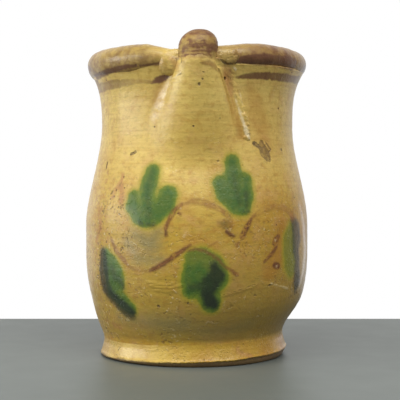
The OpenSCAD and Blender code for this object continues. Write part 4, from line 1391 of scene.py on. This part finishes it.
class JUG_OT_lay_coils(JugPiece, bpy.types.Operator):
    """Lay the coils of clay that seal the duct's edges, rough on the right and smoothed on the left"""

    bl_idname = "jug.lay_coils"
    bl_label = "Lay coils"

    def execute(self, context):
        strokes = self.strokes(context)
        form = self.form(context)
        # Side, piece, solid, height of the crest and share of crumbled clay
        coils = (
            (-1, "coil_smoothed_left", "spout_coil_left", 0.3 * MM, 0.0),
            (1, "coil_rough_right", "spout_coil_right", 2.0 * MM, 1.0),
        )
        for side, name, node, crest, crumble in coils:
            bm = bmesh.new()
            bmesh.ops.create_grid(bm, x_segments=56, y_segments=170, size=0.5)
            for vert in bm.verts:
                vert.co = self.coil_point(form, side, vert.co.x + 0.5, vert.co.y + 0.5, crest, crumble)
            if side > 0:
                centre, way = duct_vent(form, crest)
                punch(bm, centre, way, form.sizes.vent_radius)
            else:
                bmesh.ops.reverse_faces(bm, faces=bm.faces[:])
                bm.normal_update()
            bmesh.ops.solidify(bm, geom=bm.faces[:], thickness=2 * MM)
            piece = deliver(bm, name, material("painted_honey", honey_glaze), "honey_glaze", node)
            paint(piece.data, strokes)
        return {"FINISHED"}

    def coil_point(self, form, side, across, along, crest, crumble):
        """A point of the coil, from its inner edge on the duct to its outer edge on the wall."""
        s = form.sizes
        low_end = 136.5 * MM
        coil_length = 45 * MM
        inner_lap = 3.0 * MM
        outer_lap = 6.4 * MM
        # Where the crumbled ridge runs across the coil, and how wide, as shares of its width
        ridge_place = 0.76
        ridge_width = 0.13
        height = low_end + coil_length * along
        fillet = duct_fillets(s, height)[1 if side > 0 else 0]
        radius = form.duct_radius(height)
        first = form.duct_turn(height, radius) - inner_lap / radius
        last = form.duct_turn(height, radius + outer_lap)
        ragged = crumble * 0.7 * MM * noise.noise(Vector((height * 320, side, 2.2)))
        turn = side * (first + (last + ragged / radius - first) * across)
        reach = form.duct_skin(turn, height, fillet)[0]
        base = form.duct_point(turn, height, reach)
        fade = clamp(along / 0.3) * clamp((1 - along) / 0.05)
        body = clamp(across / (0.5 - 0.34 * crumble)) * clamp((1 - across) / (0.5 - 0.4 * crumble))
        body = ease(body) * ease(fade)
        low = clamp(along / 0.05) * clamp((0.72 - along) / 0.2)
        crumbs = 0.55 + 0.6 * rough(base, 260, 3.0) + 0.5 * rough(base, 620, 5.0)
        ridge = math.exp(-((across - ridge_place) / ridge_width) ** 2) * low * crumbs
        lift = crest * 0.6 * body + crumble * 1.5 * MM * ridge
        lift -= (0.06 + 0.39 * crumble) * MM * (1 - min(1.0, (1 + 2 * crumble) * max(body, ridge)))
        return form.duct_point(turn, height, reach + lift)


class JUG_OT_pull_handle(JugPiece, bpy.types.Operator):
    """Pull the hollow handle from the rim round to the belly, with the clay that joins its ends"""

    bl_idname = "jug.pull_handle"
    bl_label = "Pull handle"

    def execute(self, context):
        self.pull(context)
        self.press_crown(context)
        self.press_root(context)
        return {"FINISHED"}

    def pull(self, context):
        s = context.scene.jug_sizes
        bend_y = s.handle_back - s.bend_radius
        bend_z = s.rim_height - s.bend_radius
        start_y = s.ring_radius + 6 * MM
        tail = 12.8 * MM
        flatness = 1.04
        bm = bmesh.new()
        upright = Matrix.Rotation(math.radians(90), 4, "X")
        start = Matrix.Translation((0, start_y, s.rim_height)) @ upright
        bmesh.ops.create_circle(bm, segments=48, radius=s.handle_radius, matrix=start)
        ring = bm.verts[:] + bm.edges[:]
        rows = 8
        for _ in range(rows):
            ring = self.extrude(bm, ring, Vector((0, (bend_y - start_y) / rows, 0)))
        ring = self.sweep(bm, ring, (0, bend_y, bend_z), angle=-math.pi / 2, steps=48)
        arc_y = s.handle_back - s.sweep_radius
        ring = self.sweep(bm, ring, (0, arc_y, bend_z), angle=-s.sweep_angle, steps=64)
        tangent = Vector((0, -math.sin(s.sweep_angle), -math.cos(s.sweep_angle)))
        for _ in range(rows):
            ring = self.extrude(bm, ring, tangent * tail / rows)
        bmesh.ops.recalc_face_normals(bm, faces=bm.faces[:])
        cap_ends(bm)
        bm.normal_update()
        for vert in bm.verts:
            uneven = 0.45 * rough(vert.co, 30, 2.6) + 0.2 * rough(vert.co, 95, 8.1)
            vert.co += vert.normal * uneven * MM
            vert.co.x *= flatness
        inner = s.bend_radius - s.handle_radius
        vent_turn = math.radians(45)
        way = Vector((0, -math.sin(vent_turn), -math.cos(vent_turn)))
        sink_hole(bm, Vector((0, bend_y, bend_z)) - way * inner, way, s.vent_radius, depth=4 * MM)
        deliver(bm, "handle_pulled", material("plain_honey", plain_glaze), "honey_glaze", "handle")

    def extrude(self, bm, ring, way):
        return draw_out(bm, [item for item in ring if isinstance(item, bmesh.types.BMEdge)], way)

    def sweep(self, bm, ring, centre, angle, steps):
        parts = [item for item in ring if not isinstance(item, bmesh.types.BMFace)]
        swept = bmesh.ops.spin(bm, geom=parts, cent=centre, axis=(1, 0, 0), angle=angle, steps=steps)
        return swept["geom_last"]

    def press_crown(self, context):
        s = context.scene.jug_sizes
        bm = bmesh.new()
        bmesh.ops.create_icosphere(bm, subdivisions=6, radius=s.crown_radius)
        centre = Vector((0, s.ring_radius, s.rim_height))
        for vert in bm.verts:
            arm = vert.co.copy()
            point = centre + arm
            back = max(0.0, arm.y / s.crown_radius)
            sides = max(0.0, abs(arm.x) / s.crown_radius - 0.2)
            uneven = 0.7 * rough(point, 90, 1.2) + 0.25 * rough(point, 300, 2.9)
            vert.co = centre + arm * (1 - 0.12 * back * back - 0.16 * sides) + arm.normalized() * uneven * MM
        finish = material("stained_rim", rim_glaze)
        piece = deliver(bm, "handle_thumbed_crown", finish, "rim_glaze", "handle_crown")
        paint(piece.data, self.strokes(context))

    def press_root(self, context):
        s = context.scene.jug_sizes
        bend_z = s.rim_height - s.bend_radius
        end = Vector((0, s.handle_back - s.sweep_radius * (1 - math.cos(s.sweep_angle)),
                      bend_z - s.sweep_radius * math.sin(s.sweep_angle)))
        tangent = Vector((0, -math.sin(s.sweep_angle), -math.cos(s.sweep_angle)))
        lap = 4 * MM
        flare_length = 20 * MM
        tuck_length = 2.5 * MM
        first = end - tangent * lap
        facing = tangent.to_track_quat("Z", "X").to_matrix().to_4x4()
        bm = bmesh.new()
        bmesh.ops.create_circle(
            bm, segments=96, radius=s.handle_radius * 1.02, matrix=Matrix.Translation(first) @ facing)
        ring = bm.verts[:] + bm.edges[:]
        steps = 26
        reach = 24 * MM
        for _ in range(steps):
            ring = self.extrude(bm, ring, tangent * reach / steps)
        cap_ends(bm)
        for vert in bm.verts:
            along = (vert.co - first).dot(tangent)
            spine = first + tangent * along
            arm = vert.co - spine
            share = clamp(along / flare_length)
            flare = (s.root_radius - s.handle_radius) * (0.35 * share + 0.65 * share ** 3)
            dents = 0.7 * rough(vert.co, 70, 4.4) * share + 0.2 * rough(vert.co, 240, 1.1)
            tuck = 0.5 * MM * (1 - min(1.0, along / tuck_length))
            if arm.length > WELD:
                vert.co = spine + arm.normalized() * (arm.length + flare + dents * MM - tuck)
        deliver(bm, "handle_pressed_root", material("plain_honey", plain_glaze), "honey_glaze", "handle_root")


class JUG_OT_glaze_siphon(JugPiece, bpy.types.Operator):
    """Glaze the siphon pipe and its brace, which keep the shape of their solids"""

    bl_idname = "jug.glaze_siphon"
    bl_label = "Glaze siphon"

    def execute(self, context):
        finish = material("dark_inside", inner_glaze)
        for node in ("siphon_pipe", "siphon_brace"):
            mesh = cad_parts[node].data
            mesh.materials.clear()
            mesh.materials.append(finish)
        return {"FINISHED"}


class JUG_OT_set_stage(bpy.types.Operator):
    """Set the plain floor, the soft light and the camera"""

    bl_idname = "jug.set_stage"
    bl_label = "Set stage"

    def execute(self, context):
        look = context.scene.stage_look
        self.lay_floor(context, look)
        self.light_world(context, look)
        self.hang_backdrop(context, look)
        self.hang_lamps(context, look)
        self.set_camera(context, look)
        context.scene.view_settings.view_transform = "Standard"
        return {"FINISHED"}

    def lay_floor(self, context, look):
        bm = bmesh.new()
        bmesh.ops.create_grid(bm, x_segments=8, y_segments=8, size=1.0)
        past_camera = 0.6
        front = -look.camera_distance - past_camera
        for vert in bm.verts:
            vert.co.x *= look.floor_half
            vert.co.y = front + (look.floor_back - front) * (vert.co.y + 1) / 2
        mesh = bpy.data.meshes.new("floor")
        bm.to_mesh(mesh)
        bm.free()
        sheet = Sheet("floor_plain")
        sheen = sheet.noise(40, 2)
        surface = sheet.add("ShaderNodeBsdfPrincipled", inputs={
            "Base Color": sheet.rgba(look.floor), "Roughness": 0.42 + sheen * 0.08})
        sheet.add("ShaderNodeOutputMaterial", inputs={"Surface": surface})
        mesh.materials.append(sheet.material)
        floor = bpy.data.objects.new("floor", mesh)
        context.scene.collection.objects.link(floor)

    def light_world(self, context, look):
        world = bpy.data.worlds.new("studio")
        context.scene.world = world
        world.use_nodes = True
        background = world.node_tree.nodes["Background"]
        background.inputs["Color"].default_value = (1, 1, 1, 1)
        background.inputs["Strength"].default_value = look.ambient

    def hang_backdrop(self, context, look):
        """A white backdrop far behind, which lights the jug no more than the room does."""
        bm = bmesh.new()
        bmesh.ops.create_grid(bm, x_segments=4, y_segments=4, size=1.0)
        half_width = 3.0
        half_height = 2.0
        middle = 1.3
        behind = 1.6
        for vert in bm.verts:
            vert.co = Vector((vert.co.x * half_width, behind, vert.co.y * half_height + middle))
        mesh = bpy.data.meshes.new("backdrop")
        bm.to_mesh(mesh)
        bm.free()
        sheet = Sheet("backdrop_white")
        seen = sheet.add("ShaderNodeLightPath", output="Is Camera Ray")
        seen = seen.math("MAXIMUM", seen, sheet.add("ShaderNodeLightPath", output="Is Glossy Ray"))
        seen = seen.math("MAXIMUM", seen, sheet.add("ShaderNodeLightPath", output="Is Transmission Ray"))
        glow = sheet.add("ShaderNodeEmission", inputs={"Strength": look.ambient + (1 - look.ambient) * seen})
        sheet.add("ShaderNodeOutputMaterial", inputs={"Surface": glow})
        mesh.materials.append(sheet.material)
        backdrop = bpy.data.objects.new("backdrop", mesh)
        context.scene.collection.objects.link(backdrop)

    def hang_lamps(self, context, look):
        # Lamp, place, width, height, share of the power, and whether the glaze mirrors it
        lamps = (
            ("key", (-1.3, -0.45, 0.8), 1.3, 1.3, 0.64, False),
            ("gleam", (-1.2, -0.18, 0.22), 0.9, 0.3, 0.28, True),
            ("top", (0.1, -0.95, 1.45), 2.0, 1.2, 1.9, True),
            ("fill", (0.95, -0.75, 0.75), 1.2, 1.2, 0.2, False),
        )
        middle = Vector((0, 0, 0.11))
        for name, place, width, tall, share, gloss in lamps:
            lamp = bpy.data.lights.new(name, "AREA")
            lamp.shape = "RECTANGLE"
            lamp.size = width
            lamp.size_y = tall
            lamp.energy = look.key_power * share
            bulb = bpy.data.objects.new(name, lamp)
            bulb.location = place
            bulb.visible_glossy = gloss
            aim = middle - Vector(place)
            bulb.rotation_euler = aim.to_track_quat("-Z", "Y").to_euler()
            context.scene.collection.objects.link(bulb)

    def set_camera(self, context, look):
        data = bpy.data.cameras.new("camera")
        data.lens = look.lens
        data.sensor_width = look.sensor
        camera = bpy.data.objects.new("camera", data)
        camera.location = (look.camera_side, -look.camera_distance, look.camera_height)
        camera.rotation_euler = (math.pi / 2 - look.camera_tilt, 0, 0)
        context.scene.collection.objects.link(camera)
        context.scene.camera = camera


PIECES = (
    JUG_OT_throw_foot, JUG_OT_throw_pot, JUG_OT_lay_duct, JUG_OT_lay_coils, JUG_OT_roll_rim,
    JUG_OT_press_pads, JUG_OT_set_nozzle, JUG_OT_pull_handle, JUG_OT_glaze_siphon, JUG_OT_set_stage,
)


class JUG_PT_pieces(bpy.types.Panel):
    """Lists the jug's pieces in the order in which they are made"""

    bl_label = "Puzzle jug"
    bl_space_type = "VIEW_3D"
    bl_region_type = "UI"
    bl_category = "Jug"

    def draw(self, context):
        for piece in PIECES:
            self.layout.operator(piece.bl_idname)


CLASSES = (JugSizes, GlazeColours, StageLook) + PIECES + (JUG_PT_pieces,)


def register():
    for item in CLASSES:
        bpy.utils.register_class(item)
    bpy.types.Scene.jug_sizes = bpy.props.PointerProperty(type=JugSizes)
    bpy.types.Scene.glaze_colours = bpy.props.PointerProperty(type=GlazeColours)
    bpy.types.Scene.stage_look = bpy.props.PointerProperty(type=StageLook)


def unregister():
    del bpy.types.Scene.stage_look
    del bpy.types.Scene.glaze_colours
    del bpy.types.Scene.jug_sizes
    for item in reversed(CLASSES):
        bpy.utils.unregister_class(item)


def main():
    """Builds every piece in order."""
    register()
    bpy.ops.jug.throw_foot()
    bpy.ops.jug.throw_pot()
    bpy.ops.jug.lay_duct()
    bpy.ops.jug.lay_coils()
    bpy.ops.jug.roll_rim()
    bpy.ops.jug.press_pads()
    bpy.ops.jug.set_nozzle()
    bpy.ops.jug.pull_handle()
    bpy.ops.jug.glaze_siphon()
    bpy.ops.jug.set_stage()


if __name__ == "__main__":
    main()
